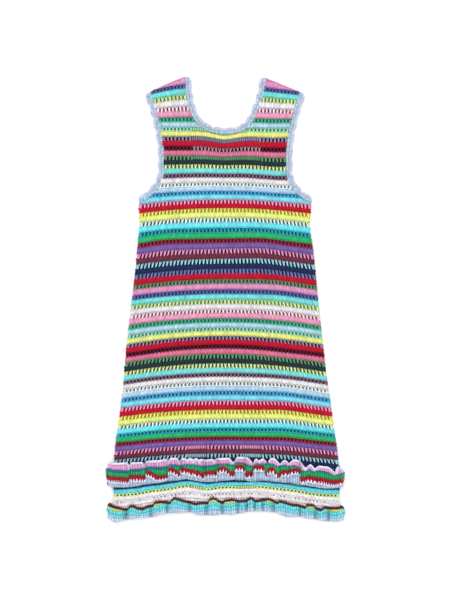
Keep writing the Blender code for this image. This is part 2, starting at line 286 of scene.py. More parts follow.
NECK_EDGE = tenths(
    EdgePoint,
    (-790, 15), (-768, 360), (-723, 580), (-668, 740), (-592, 890), (-475, 1005), (-345, 1085),
    (-200, 1135), (0, 1150), (170, 1145), (330, 1100), (470, 1010), (565, 890), (635, 740), (700, 580),
    (770, 360), (820, 35),
)

# As on the right, where ARMHOLE_SHIFT is added
ARMHOLE_EDGE = tenths(
    EdgePoint,
    (1490, 315), (1420, 540), (1365, 700), (1330, 870), (1290, 1010), (1255, 1220), (1222, 1480),
    (1218, 1720), (1222, 1920), (1260, 2100), (1380, 2290), (1550, 2440), (1640, 2500), (1715, 2525),
)
ARMHOLE_SHIFT = 0.0015

SIDES = tenths(
    Width,
    (2528, 1715, 1730), (3000, 1695, 1692), (3280, 1727, 1735), (3680, 1756, 1786), (4180, 1810, 1833),
    (4580, 1862, 1873), (5380, 1953, 1960), (6040, 2009, 2037), (6580, 2067, 2117), (7180, 2150, 2195),
    (7580, 2195, 2253), (8280, 2212, 2285), (8760, 2218, 2285),
)
SIDE_STEP = 0.018


class Fold(NamedTuple):
    """A crest or valley of a ruffle: where its top and foot edges are, and how high it stands."""

    across: float
    top: float
    foot: float
    height: float


class Slit(NamedTuple):
    """The mouth of a narrow fold that is pressed shut, drawn as a dark strand of painted shade for its dark
    inside.
    """

    across: float
    top: float
    foot: float
    slant: float = 0.0  # how far to the right its foot is


class Spot(NamedTuple):
    """A stretch of a row that shows only on a crest."""

    across: float
    reach: float


class Section(NamedTuple):
    """A line along a ruffle, at a share of the way from its top edge to its foot."""

    share: float
    wave: float
    base: float


UPPER_FOLDS = tenths(
    Fold,
    (-2315, 7740, 8185, 20), (-2155, 7720, 8215, 90), (-1903, 7780, 8220, 0), (-1755, 7710, 8192, 90),
    (-1609, 7764, 8165, 0), (-1355, 7668, 8130, 100), (-1123, 7690, 8100, 0), (-1025, 7625, 8085, 70),
    (-907, 7714, 8078, 0), (-825, 7625, 8060, 70), (-751, 7660, 8050, 0), (-690, 7625, 8070, 50),
    (-630, 7655, 8080, 0), (-573, 7630, 8090, 50), (-515, 7665, 8100, 0), (-385, 7655, 8110, 90),
    (-205, 7676, 8110, 0), (-35, 7622, 8080, 100), (179, 7725, 8070, 0), (365, 7600, 8070, 100),
    (594, 7745, 8110, 0), (625, 7635, 8100, 40), (665, 7680, 8090, 0), (735, 7636, 8080, 60),
    (850, 7753, 8090, 0), (955, 7622, 8100, 90), (1112, 7753, 8120, 0), (1195, 7664, 8130, 50),
    (1285, 7740, 8130, 0), (1385, 7650, 8150, 90), (1470, 7665, 8170, 80), (1628, 7835, 8180, 0),
    (1710, 7746, 8200, 60), (1797, 7860, 8210, 0), (1905, 7780, 8230, 80), (2010, 7795, 8240, 70),
    (2195, 7920, 8240, 0), (2315, 7800, 8200, 50),
)

HEM_FOLDS = tenths(
    Fold,
    (-2315, 8580, 8850, 20), (-2175, 8630, 8910, 70), (-1975, 8670, 8870, 0), (-1715, 8660, 8830, 60),
    (-1465, 8600, 8820, 0), (-1295, 8520, 8760, 60), (-1145, 8540, 8740, 0), (-935, 8470, 8720, 70),
    (-695, 8520, 8720, 0), (-535, 8540, 8770, 50), (-365, 8540, 8780, 0), (-215, 8470, 8770, 60),
    (-45, 8550, 8760, 0), (105, 8470, 8760, 60), (265, 8500, 8750, 0), (355, 8480, 8730, 40),
    (445, 8490, 8710, 0), (520, 8440, 8700, 40), (600, 8500, 8700, 0), (685, 8480, 8700, 40),
    (765, 8470, 8700, 0), (865, 8460, 8700, 50), (975, 8500, 8720, 0), (1245, 8560, 8800, 80),
    (1505, 8600, 8810, 0), (1665, 8590, 8840, 60), (1815, 8630, 8860, 0), (1945, 8650, 8890, 50),
    (2065, 8620, 8900, 0), (2225, 8650, 8900, 60), (2355, 8620, 8870, 20),
)

UPPER_SECTIONS = table(
    Section,
    (0.0, 1.0, RUFFLE_BASE), (0.14, 0.95, RUFFLE_BASE), (0.28, 0.5, RUFFLE_BASE), (0.42, 0.35, RUFFLE_BASE),
    (0.62, 0.55, RUFFLE_BASE), (0.82, 0.7, RUFFLE_BASE), (1.0, 0.75, RUFFLE_BASE),
)

HEM_SECTIONS = table(
    Section,
    (0.0, 0.25, RUFFLE_BASE), (0.52, 0.6, RUFFLE_BASE), (0.78, 0.85, 0.6 * RUFFLE_BASE),
    (1.0, 1.0, 0.2 * RUFFLE_BASE),
)

# How far the ends of each ruffle swell out
UPPER_BULGE = 0.008
HEM_BULGE = 0.006

# Where the upper ruffle is gathered, lobe by lobe
GATHER_LINE = tenths(
    EdgePoint,
    (-2375, 7870), (-2225, 7874), (-1909, 7906), (-1875, 7872), (-1595, 7852), (-1519, 7820), (-1151, 7820),
    (-1097, 7776), (-977, 7776), (-891, 7800), (-809, 7766), (-623, 7776), (-461, 7798), (-223, 7776),
    (-137, 7754), (27, 7744), (189, 7786), (243, 7722), (351, 7722), (449, 7766), (547, 7798), (605, 7750),
    (745, 7750), (885, 7744), (941, 7744), (1017, 7786), (1103, 7808), (1145, 7786), (1201, 7766),
    (1277, 7808), (1309, 7798), (1395, 7776), (1483, 7820), (1547, 7896), (1633, 7906), (1699, 7852),
    (1763, 7916), (1895, 7874), (2045, 7916), (2155, 7992), (2263, 7950), (2365, 7906),
)

# Where its red row begins, with a step wherever one lobe lies over the next
RED_LINE = tenths(
    EdgePoint,
    (-2371, 7990), (-2169, 8012), (-1892, 8044), (-1886, 7990), (-1735, 7982), (-1572, 8004), (-1566, 7880),
    (-1465, 7906), (-1357, 7982), (-1148, 7986), (-1142, 7862), (-1053, 7820), (-977, 7874), (-874, 7964),
    (-868, 7804), (-755, 7862), (-623, 7874), (-402, 7950), (-396, 7906), (-287, 7896), (-142, 7906),
    (-136, 7836), (-27, 7798), (37, 7840), (113, 7916), (204, 7916), (210, 7790), (329, 7766), (399, 7820),
    (405, 7916), (548, 7916), (554, 7786), (677, 7776), (789, 7776), (809, 7952), (849, 7952), (869, 7850),
    (961, 7820), (1017, 7896), (1037, 7950), (1106, 7950), (1112, 7906), (1201, 7874), (1294, 7906),
    (1300, 7862), (1417, 7830), (1500, 7874), (1506, 8026), (1591, 8026), (1699, 7992), (1763, 8026),
    (1937, 8036), (2101, 8080), (2209, 8090), (2371, 8014),
)

# Dark strands of painted shade, laid in the mouths of pressed folds
UPPER_SLITS = tenths(
    Slit,
    (-761, 7640, 7700), (-622, 7645, 7755), (-519, 7645, 7760), (603, 7635, 7750), (737, 7670, 7760, 10),
    (290, 7960, 8060, 26), (680, 7860, 8040, -4), (1380, 7990, 8080, 30), (545, 7800, 7960, 10),
    (845, 7840, 7990, -12),
)
# Dark strands of painted shade in the hem ruffle's deepest folds
HEM_SLITS = tenths(
    Slit,
    (-1955, 8690, 8800, 6), (447, 8530, 8640), (757, 8520, 8630, 6),
)
YELLOW_SPOTS = tenths(
    Spot,
    (-2155, 130), (-1325, 85), (-235, 80), (105, 100), (905, 60), (1715, 70), (2165, 140),
)

# The brown row that joins the hem ruffle to the dress
BROWN_LINE = tenths(
    EdgePoint,
    (-2375, 8574), (-2317, 8578), (-2169, 8622), (-2019, 8664), (-1931, 8664), (-1887, 8600), (-1823, 8600),
    (-1737, 8644), (-1627, 8654), (-1551, 8610), (-1433, 8590), (-1379, 8524), (-1249, 8514), (-1085, 8534),
    (-1043, 8470), (-999, 8438), (-803, 8502), (-721, 8514), (-591, 8556), (-461, 8534), (-331, 8534),
    (-287, 8460), (-223, 8438), (-137, 8492), (-49, 8534), (15, 8492), (145, 8470), (275, 8502),
    (427, 8492), (525, 8438), (623, 8502), (775, 8470), (885, 8460), (1049, 8534), (1113, 8502),
    (1221, 8534), (1353, 8578), (1449, 8578), (1613, 8632), (1645, 8578), (1753, 8578), (1829, 8644),
    (1915, 8676), (1991, 8622), (2101, 8644), (2371, 8632),
)


def linear(code: str) -> Array:
    """Turns an sRGB hex colour into linear light.

    Args:
        code: the colour, as "#rrggbb".

    Returns:
        Its red, green and blue.
    """
    shown = np.array([int(code[i : i + 2], 16) / 255.0 for i in (1, 3, 5)])
    return np.where(shown <= 0.04045, shown / 12.92, ((shown + 0.055) / 1.055) ** 2.4)


def smooth_step(share: Any) -> Any:
    """Eases from 0 to 1, level at both ends."""
    held = np.clip(share, 0.0, 1.0)
    return held * held * (3.0 - 2.0 * held)


def smooth_curve(points: Sequence[EdgePoint], step: float) -> list[EdgePoint]:
    """Draws a smooth line through points.

    Args:
        points: what the line passes through.
        step: about how far apart its places are.

    Returns:
        The places along it.
    """
    ends = [points[0], *points, points[-1]]
    line = []
    for before, start, end, after in zip(ends, ends[1:], ends[2:], ends[3:]):
        count = max(1, round(math.dist(start, end) / step))
        for i in range(count):
            t = i / count
            place = [
                b + 0.5 * t * (c - a + t * (2 * a - 5 * b + 4 * c - d + t * (3 * b - a - 3 * c + d)))
                for a, b, c, d in zip(before, start, end, after)
            ]
            line.append(EdgePoint(*place))
    return [*line, EdgePoint(*points[-1])]


def armhole_line(on_left: bool) -> list[EdgePoint]:
    """One armhole's edge: from the shoulder to the side on the right, and back up on the left.

    Args:
        on_left: whether it is the left one.

    Returns:
        The places along it.
    """
    if on_left:
        return [EdgePoint(-p.across, p.down) for p in reversed(smooth_curve(ARMHOLE_EDGE, OUTLINE_STEP))]
    shifted = [EdgePoint(p.across + ARMHOLE_SHIFT, p.down) for p in ARMHOLE_EDGE]
    return smooth_curve(shifted, OUTLINE_STEP)


def side_line(on_left: bool) -> list[EdgePoint]:
    """A panel's side from the armhole to the hem."""
    points = [EdgePoint(-w.left, w.down) if on_left else EdgePoint(w.right, w.down) for w in SIDES]
    return smooth_curve(points, SIDE_STEP)


def panel_outline() -> list[EdgePoint]:
    """A panel's edge, all the way round, starting at the left end of the neck.

    Returns:
        The places along it.
    """
    return [
        *smooth_curve(NECK_EDGE, OUTLINE_STEP),
        *armhole_line(on_left=False),
        *side_line(on_left=False)[1:],
        *reversed(side_line(on_left=True)[1:]),
        *armhole_line(on_left=True),
    ]


def line_down(line: Sequence[EdgePoint], across: Array) -> Array:
    """How far down a line is at places across."""
    return np.interp(across, [place.across for place in line], [place.down for place in line])


def beside(folds: Sequence[Fold], name: str, across: Array) -> tuple[Array, Array, Array]:
    """Reads a column of folds at places between them.

    Args:
        folds: the folds.
        name: the column.
        across: where it is read.

    Returns:
        Its values on the left and on the right, and how far from the left to the right each place is.
    """
    at = np.interp(across, [f.across for f in folds], np.arange(len(folds)))
    first = np.clip(np.floor(at).astype(int), 0, len(folds) - 2)
    values = np.array([getattr(f, name) for f in folds])
    return values[first], values[first + 1], at - first


def stripe_of(row: int) -> Stripe:
    """The stripe that a row of the panels has.

    Args:
        row: its number, from the shoulder.

    Returns:
        The stripe.
    """
    if row in HEM_ROWS:
        return HEM_ROWS[row]
    if row >= WHITE_FROM:
        return Stripe(Yarn.ROSY_WHITE, STRIPES[4].behind)
    return STRIPES[max(row, 0) % len(STRIPES)]


class Surface(Protocol):
    """Something that stitches lie on."""

    def place(self, along: Array, down: Array, height: Array) -> Array:
        """Turns places on the surface, and heights over it, into points."""


@dataclass(frozen=True)
class Lie:
    """How a panel's rows lie: where each is, how it bows, and how it rises over the back ruffles."""

    shoulder_reach: float = 0.150  # half the width that a row's bow is measured over, at the shoulders
    flare: float = 0.0884  # how much that half width grows for each metre down
    neck_dip: float = 0.0095  # how far the rows under the neck are pulled down at the middle line
    neck_dip_width: float = 0.030
    neck_dip_depth: float = 0.045
    neck_level: float = 0.107
    strap_skew: float = 0.063  # the rows on the right strap hang lower at the neck than those on the left
    strap_depth: float = 0.100
    lift_from: float = 0.735
    lift_whole: float = 0.753
    unwarp_rounds: int = 12

    def level(self, row: Any) -> Any:
        """The level of a row's middle, or of a place between two."""
        return np.interp(row, [p.row for p in ROW_PLACES], [p.level for p in ROW_PLACES])

    def bow(self, across: Any, level: Any) -> Any:
        """How far a row is lower here than its level.

        Args:
            across: where.
            level: the row's level.

        Returns:
            The distances down.
        """
        reach = self.shoulder_reach + self.flare * level
        drop = np.interp(level, [b.level for b in BOWS], [b.drop for b in BOWS])
        dip = self.neck_dip * np.exp(-np.maximum(level - self.neck_level, 0.0) / self.neck_dip_depth)
        share = across / reach
        fade = np.clip(1.0 - level / self.strap_depth, 0.0, 1.0)
        skew = self.strap_skew * fade * across * (1.0 - share * share)
        total = drop * share * share + dip * np.exp(-((across / self.neck_dip_width) ** 2)) + skew
        for place in DIPS:
            off = ((across - place.across) / place.width) ** 2 + ((level - place.level) / place.depth) ** 2
            total = total + place.drop * np.exp(-off)
        return total

    def level_of(self, across: Any, down: Any) -> Any:
        """The level of the row that passes through a place.

        Args:
            across: where.
            down: how far below the shoulders.

        Returns:
            The levels.
        """
        level = down
        for _ in range(self.unwarp_rounds):
            level = down - self.bow(across, level)
        return level

    def lift(self, down: Any) -> Any:
        """How far the panels rise over the back ruffles."""
        return LIFT * smooth_step((down - self.lift_from) / (self.lift_whole - self.lift_from))

    def place(self, along: Array, down: Array, height: Array) -> Array:
        """Turns places across, their levels and their heights into points."""
        lower = down + self.bow(along, down)
        return np.stack([along, LENGTH / 2.0 - lower, height + self.lift(lower)], -1)


LIE = Lie()


@dataclass
class Outline:
    """A panel's edge, as places across and their levels, which are where its rows are straight."""

    across: Array
    level: Array
    looks: int = 9  # how many places down each row are looked at
    least: float = 0.4  # share of a row's height that has to be on the cloth
    known: dict[tuple[float, float], list[tuple[float, float]]] = field(default_factory=dict)

    @classmethod
    def of_panel(cls) -> Outline:
        """The outline that both panels share."""
        points = panel_outline()
        across = np.array([p.across for p in points])
        return cls(across, LIE.level_of(across, np.array([p.down for p in points])))

    def holds(self, across: Array, level: Array) -> Array:
        """Tells which places are on the cloth.

        Args:
            across: where.
            level: at what levels.

        Returns:
            Whether each is.
        """
        ax, al = self.across, self.level
        bx, bl = np.roll(ax, -1), np.roll(al, -1)
        x, y = np.asarray(across)[..., None], np.asarray(level)[..., None]
        crosses = (al > y) != (bl > y)
        with np.errstate(divide="ignore", invalid="ignore"):
            where = ax + (y - al) * (bx - ax) / (bl - al)
        return np.count_nonzero(crosses & (x < where), axis=-1) % 2 == 1

    def reach(self, across: Array, top: float, bottom: float) -> tuple[Array, Array]:
        """Where the cloth begins and ends between the edges of a row, at places across.

        Args:
            across: where.
            top: level of the row's upper edge.
            bottom: level of its lower edge.

        Returns:
            The first and last levels that are on the cloth.
        """
        share = (np.arange(self.looks) + 0.5) / self.looks
        levels = np.broadcast_to(top + share * (bottom - top), (len(across), self.looks))
        on = self.holds(np.broadcast_to(across[:, None], levels.shape), levels)
        first = np.where(on.any(1), on.argmax(1), self.looks)
        last = np.where(on.any(1), self.looks - on[:, ::-1].argmax(1), self.looks)
        return top + (bottom - top) * first / self.looks, top + (bottom - top) * last / self.looks

    def stretches(self, top: float, bottom: float, step: float = 0.0005) -> list[tuple[float, float]]:
        """The stretches of a row that are on the cloth for most of the row's height.

        Args:
            top: level of the row's upper edge.
            bottom: level of its lower edge.
            step: how finely it is looked at.

        Returns:
            The start and end of each stretch.
        """
        if (top, bottom) not in self.known:
            at = np.arange(self.across.min() - step, self.across.max() + 2.0 * step, step)
            upper, lower = self.reach(at, top, bottom)
            on = lower - upper > self.least * (bottom - top)
            change = np.flatnonzero(np.diff(on.astype(int)))
            self.known[top, bottom] = [(at[a + 1], at[b]) for a, b in zip(change[::2], change[1::2])]
        return self.known[top, bottom]

    def area(self) -> float:
        """The cloth's flat area, by the surveyor's formula."""
        down = self.level + LIE.bow(self.across, self.level)
        return 0.5 * abs(float(np.sum(self.across * np.roll(down, -1) - np.roll(self.across, -1) * down)))


# Any uneven numbers serve; together they choose which of a row's gaps are too small to show
SCATTER_ALONG, SCATTER_DOWN, SCATTER = 12.9898, 78.233, 43758.5453
LEAST_OPENNESS = 0.3  # below it a row counts as closed there


class Row(NamedTuple):
    """One row of a panel, between its upper and lower edge."""

    number: int
    top: float
    bottom: float
    stripe: Stripe

    @property
    def is_open(self) -> bool:
        """Whether it has gaps."""
        return self.number % 2 == 1 and self.number <= LAST_OPEN_ROW

    def openness(self, place: float) -> float:
        """How wide a gap at a place on this row is, for the row's widest; they narrow towards a patch.

        Args:
            place: where on the row.

        Returns:
            The share, 0 where it is closed.
        """
        if not self.is_open:
            return 0.0
        patches = [p for p in PATCHES if p.row == self.number and p.is_closed]
        away = [max(p.start - place, place - p.end) for p in patches]
        return min(1.0, max(0.0, min(away, default=PATCH_EASE) / PATCH_EASE))

    def is_open_at(self, place: float) -> bool:
        """Whether the row is worked open at a place."""
        return self.openness(place) > LEAST_OPENNESS

    def has_gap(self, place: float) -> bool:
        """Whether a gap shows at a place on this row, by a scatter that is the same each time."""
        chance = math.sin(SCATTER_ALONG * round(place / PITCH) + SCATTER_DOWN * self.number) * SCATTER % 1.0
        return self.is_open_at(place) and chance < self.stripe.kept


OPEN_SHARE = 0.46  # an open row is this much of the way between the rows beside it


def panel_rows() -> list[Row]:
    """The rows of a panel, from the shoulders to the hem.

    Returns:
        The rows.
    """

    def edge(row: int) -> float:
        """The level between a row and the next one, nearer to the middle of the open one of the two."""
        share = 1.0 - OPEN_SHARE if row % 2 == 0 else OPEN_SHARE
        return float(LIE.level(row + share))

    return [Row(n, edge(n - 1), edge(n), stripe_of(n)) for n in range(0, LAST_ROW + 2)]


def row_at(rows: Sequence[Row], level: float) -> int:
    """Which of the rows a level is in."""
    return min(bisect_left(rows, level, key=lambda row: row.bottom), len(rows) - 1)


class Joint(NamedTuple):
    """A point on the middle line of a strand, in a stitch's cell."""

    along: float  # in widths of the cell
    down: float  # in heights of the row
    height: float  # over the surface, in metres


@dataclass(frozen=True)
class Strand:
    """One plump length of yarn that shows in a stitch, from its start over its bend to its end."""

    start: Joint
    bend: Joint
    end: Joint
    width: float
    flatness: float = 0.7  # how thick it is for its width
    rings: int = 3
    shade: float = 1.0  # how light it is drawn for its yarn: a painted highlight above 1 and painted shade below 1
    wraps: bool = False  # whether it goes round the cloth's edge


def strands(*rows: Sequence[Any]) -> tuple[Strand, ...]:
    """Makes strands from rows of their values.

    Args:
        rows: for each strand its start, bend and end, in hundredths of the cell along and down and in
            tenths of a millimetre of height, its width in those tenths, and its other values.

    Returns:
        The strands.
    """

    def joint(along: int, down: int, height: int) -> Joint:
        """A joint in the cell's own units."""
        return Joint(along / 100.0, down / 100.0, height / 10000.0)

    return tuple(
        Strand(joint(*start), joint(*bend), joint(*end), width / 10000.0, *rest)
        for start, bend, end, width, *rest in rows
    )


@dataclass(frozen=True)
class StrandShape:
    """A closed four-sided strand that tapers to both ends, as a ball before it is drawn out."""

    along: Array  # of each point, from 0 at its start to 1 at its end
    radius: Array
    angle: Array
    corners: Array  # points of all the faces' corners
    starts: Array  # first corner of each face
    around_map: Array  # of each corner, from 0 to 1
    along_map: Array
    triangles: int

    @classmethod
    def with_rings(cls, rings: int) -> StrandShape:
        """Makes the shape with a number of rings between its ends.

        Args:
            rings: how many.

        Returns:
            The shape.
        """
        ball = bmesh.new()
        uv_layer = ball.loops.layers.uv.new("ball")
        bmesh.ops.create_uvsphere(ball, u_segments=4, v_segments=rings + 1, radius=1.0, calc_uvs=True)
        bmesh.ops.recalc_face_normals(ball, faces=ball.faces)
        ball.verts.index_update()
        points = np.array([v.co for v in ball.verts])
        turn = np.arccos(np.clip(points[:, 2], -1.0, 1.0)) / np.pi
        along = 0.5 * turn + 0.25 * (1.0 - points[:, 2])
        corners, starts, around_map, along_map = [], [], [], []
        for face in ball.faces:
            starts.append(len(corners))
            around = [loop[uv_layer].uv.x for loop in face.loops]
            for loop, u in zip(face.loops, around):
                corners.append(loop.vert.index)
                around_map.append(u)
                along_map.append(along[loop.vert.index])
        triangles = sum(len(face.verts) - 2 for face in ball.faces)
        ball.free()
        radius = np.sin(np.pi * turn) ** 0.6 * (turn > 1e-6) * (turn < 1.0 - 1e-6)
        angle = np.arctan2(points[:, 1], points[:, 0]) + math.pi / 4.0
        faces = (np.array(values) for values in (corners, starts, around_map, along_map))
        return cls(along, radius, angle, *faces, triangles)


@dataclass
class Cells:
    """Where the same stitch is worked: arrays with a value for each cell."""

    start: Array
    width: Array
    top: Array
    drop: Array
    colour: Array
    lean: Array
    base: float
    rise: Array  # metres to a unit of `down`

    def only(self, kept: Array) -> Cells:
        """The cells that are kept."""
        arrays = (self.start, self.width, self.top, self.drop, self.colour, self.lean)
        return Cells(*(array[kept] for array in arrays), self.base, self.rise[kept])

    @classmethod
    def along_row(
        cls, start: float, end: float, pitch: float, top: float, bottom: float, colour: Array, base: float,
        shift: float = 0.0
    ) -> Cells:
        """Spreads cells evenly along a stretch of a row.

        Args:
            start: where the stretch starts.
            end: where it ends.
            pitch: about how wide a cell is.
            top: upper edge of the row.
            bottom: lower edge.
            colour: linear colour of the yarn.
            base: height of the surface that the stitches lie on.
            shift: how far the cells are moved along, in widths.

        Returns:
            The cells.
        """
        count = max(1, round((end - start) / pitch))
        width = (end - start) / count
        shifted = start + width * (np.arange(count) + shift)
        kept = shifted[(shifted > start - 1e-6) & (shifted + width < end + 1e-6)]
        many = len(kept)
        sizes = (np.full(many, value) for value in (width, top, bottom - top))
        return cls(kept, *sizes, np.tile(colour, (many, 1)), np.zeros(many), base, np.ones(many))


@dataclass
class Batch:
    """Strands of one shape, as arrays."""

    shape: StrandShape
    points: Array
    colours: Array
    girth: float
    length: float


@dataclass
class StitchWork:
    """Gathers strands of yarn, and makes one mesh of them."""

    name: str
    random: np.random.Generator
    batches: list[Batch] = field(default_factory=list)
    unevenness: float = 0.00012
    upright: float = 0.6  # how uneven the heights are, for the rest
    map_margin: float = 0.12  # round a strand's place on the map that its looks can be baked on
    tint: float = 0.045  # how much the stitches differ in lightness
    strand_tint: float = 0.07  # how much the strands of a stitch do

    def triangles(self) -> int:
        """How many triangles have been gathered."""
        return sum(len(b.points) * b.shape.triangles for b in self.batches)

    def work(self, stitch: Sequence[Strand], cells: Cells, surface: Surface) -> None:
        """Works a stitch in each cell.

        Args:
            stitch: its strands.
            cells: where it is worked.
            surface: what it lies on.
        """
        if not len(cells.start):
            return
        mean_width, mean_drop = float(cells.width.mean()), float((cells.drop * cells.rise).mean())
        rise_by = 1.0 / cells.rise[:, None]
        tint = 1.0 + self.tint * self.random.standard_normal((len(cells.start), 1))
        for strand in stitch:
            shape = SHAPES[strand.rings]
            t = shape.along[:, None]
            ends = np.array([strand.start, strand.bend, strand.end])
            line = (1.0 - t) ** 2 * ends[0] + 2.0 * t * (1.0 - t) * ends[1] + t * t * ends[2]
            run = 2.0 * (1.0 - t) * (ends[1] - ends[0]) + 2.0 * t * (ends[2] - ends[1])
            run = run * np.array([mean_width, mean_drop, 1.0])
            run /= np.linalg.norm(run, axis=1, keepdims=True)
            side = np.cross(run, np.array([0.0, 0.0, 1.0]))
            if strand.wraps:
                side = np.tile(np.array([0.0, 1.0, 0.0]), (len(run), 1))
            side /= np.maximum(np.linalg.norm(side, axis=1, keepdims=True), 1e-9)
            rise = np.cross(side, run)
            girth = 0.5 * strand.width * shape.radius[:, None]
            offset = girth * (
                np.cos(shape.angle)[:, None] * side + strand.flatness * np.sin(shape.angle)[:, None] * rise
            )
            uneven = self.unevenness * self.random.standard_normal((len(cells.start), 3))
            drop = cells.drop[:, None]
            lean = cells.lean[:, None] * (0.5 - line[None, :, 1]) * drop * cells.rise[:, None]
            along = cells.start[:, None] + cells.width[:, None] * line[None, :, 0]
            along = along + offset[None, :, 0] + lean
            down = cells.top[:, None] + drop * line[None, :, 1] + offset[None, :, 1] * rise_by
            height = cells.base + line[None, :, 2] + offset[None, :, 2]
            points = surface.place(
                along + uneven[:, :1],
                down + uneven[:, 1:2] * rise_by,
                height + self.upright * uneven[:, 2:],
            )
            length = float(np.linalg.norm((ends[2] - ends[0]) * np.array([mean_width, mean_drop, 1.0])))
            own_tint = 1.0 + self.strand_tint * self.random.standard_normal((len(cells.start), 1))
            # Each strand's own lightness is painted light: highlights on raised beads and loops, shade on
            # lower strands
            colours = np.clip(cells.colour * tint * own_tint * strand.shade, 0.0, 1.0)
            self.batches.append(Batch(shape, points, colours, math.pi * strand.width, length))

    def make(self, material: Material) -> Object:
        """Makes the mesh.

        Args:
            material: its yarn.

        Returns:
            The object.
        """
        count = sum(len(b.points) for b in self.batches)
        grid = math.ceil(math.sqrt(count))
        margin = self.map_margin
        points, corners, starts, strand_map, bake_map, colours = [], [], [], [], [], []
        point_base = corner_base = made = 0
        for batch in self.batches:
            many, per = batch.points.shape[:2]
            shape = batch.shape
            copies = np.arange(many)[:, None]
            points.append(batch.points.reshape(-1, 3))
            corners.append((shape.corners[None] + copies * per + point_base).ravel())
            starts.append((shape.starts[None] + copies * len(shape.corners) + corner_base).ravel())
            flat = np.stack([shape.around_map * batch.girth, shape.along_map * batch.length], -1)
            strand_map.append(np.tile(flat, (many, 1)))
            cell = made + copies
            u = (cell % grid + margin + (1.0 - 2.0 * margin) * shape.around_map[None]) / grid
            v = (cell // grid + margin + (1.0 - 2.0 * margin) * shape.along_map[None]) / grid
            bake_map.append(np.stack([u.ravel(), v.ravel()], -1))
            colours.append(np.repeat(batch.colours, len(shape.corners), axis=0))
            point_base += many * per
            corner_base += many * len(shape.corners)
            made += many
        mesh = bpy.data.meshes.new(self.name)
        mesh.vertices.add(point_base)
        mesh.loops.add(corner_base)
        mesh.polygons.add(sum(len(s) for s in starts))
        mesh.vertices.foreach_set("co", np.concatenate(points).astype(np.float32).ravel())
        mesh.loops.foreach_set("vertex_index", np.concatenate(corners).astype(np.int32))
        mesh.polygons.foreach_set("loop_start", np.concatenate(starts).astype(np.int32))
        mesh.update(calc_edges=True)
        for name, values in ((STRAND_MAP, strand_map), (BAKE_MAP, bake_map)):
            layer = mesh.uv_layers.new(name=name)
            layer.uv.foreach_set("vector", np.concatenate(values).astype(np.float32).ravel())
        paint = np.concatenate(colours)
        paint_corners(mesh, paint)
        mesh.shade_smooth()
        mesh.materials.append(material)
        return link(self.name, mesh)


YARN_COLOUR = "yarn"
STRAND_MAP = "Strand"
BAKE_MAP = "OFBake"
SHAPES = {rings: StrandShape.with_rings(rings) for rings in (2, 3)}


def paint_corners(mesh: Mesh, colours: Array) -> None:
    """Gives each face corner of a mesh the colour of its yarn.

    Args:
        mesh: the mesh.
        colours: a linear colour for each corner.
    """
    layer = mesh.color_attributes.new(YARN_COLOUR, "FLOAT_COLOR", "CORNER")
    whole = np.ones((len(colours), 4), np.float32)
    whole[:, :3] = colours
    layer.data.foreach_set("color", whole.ravel())


def link(name: str, mesh: Mesh) -> Object:
    """Puts a mesh into the scene under a name."""
    piece = bpy.data.objects.new(name, mesh)
    bpy.context.scene.collection.objects.link(piece)
    return piece


def cloth_on_lines(name: str, lines: Sequence[Array], low: float, thickness: float) -> Mesh:
    """Makes a thin sheet whose columns of points lie on lines.

    Args:
        name: what the mesh is called.
        lines: the points of each line, from the sheet's top edge to its foot.
        low: how far over the lines its underside is.
        thickness: how thick it is.

    Returns:
        The mesh.
    """
    columns, rows = len(lines[0]), len(lines) - 1
    sheet = bmesh.new()
    bmesh.ops.create_grid(sheet, x_segments=columns - 1, y_segments=rows, size=1.0)
    for vert in sheet.verts:
        column = round((vert.co.x + 1.0) / 2.0 * (columns - 1))
        line = round((1.0 - vert.co.y) / 2.0 * rows)
        vert.co = lines[line][column]
    raised = bmesh.ops.extrude_face_region(sheet, geom=sheet.faces[:])["geom"]
    upper = {item for item in raised if isinstance(item, BMVert)}
    for vert in sheet.verts:
        vert.co.z += low + (thickness if vert in upper else 0.0)
    bmesh.ops.recalc_face_normals(sheet, faces=sheet.faces)
    mesh = bpy.data.meshes.new(name)
    sheet.to_mesh(mesh)
    sheet.free()
    return mesh


def dress_piece(piece: Object, slot: str, *nodes: str) -> Object:
    """Makes a piece part of the dress.

    Args:
        piece: the piece.
        slot: the record's material slot that it is made of; not used.
        nodes: the solids that it stands for.

    Returns:
        The piece.
    """
    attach(piece, BODY)
    if nodes:
        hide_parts(*nodes)
    LOG.info("%s: %d triangles", piece.name, sum(len(p.vertices) - 2 for p in piece.data.polygons))
    return piece


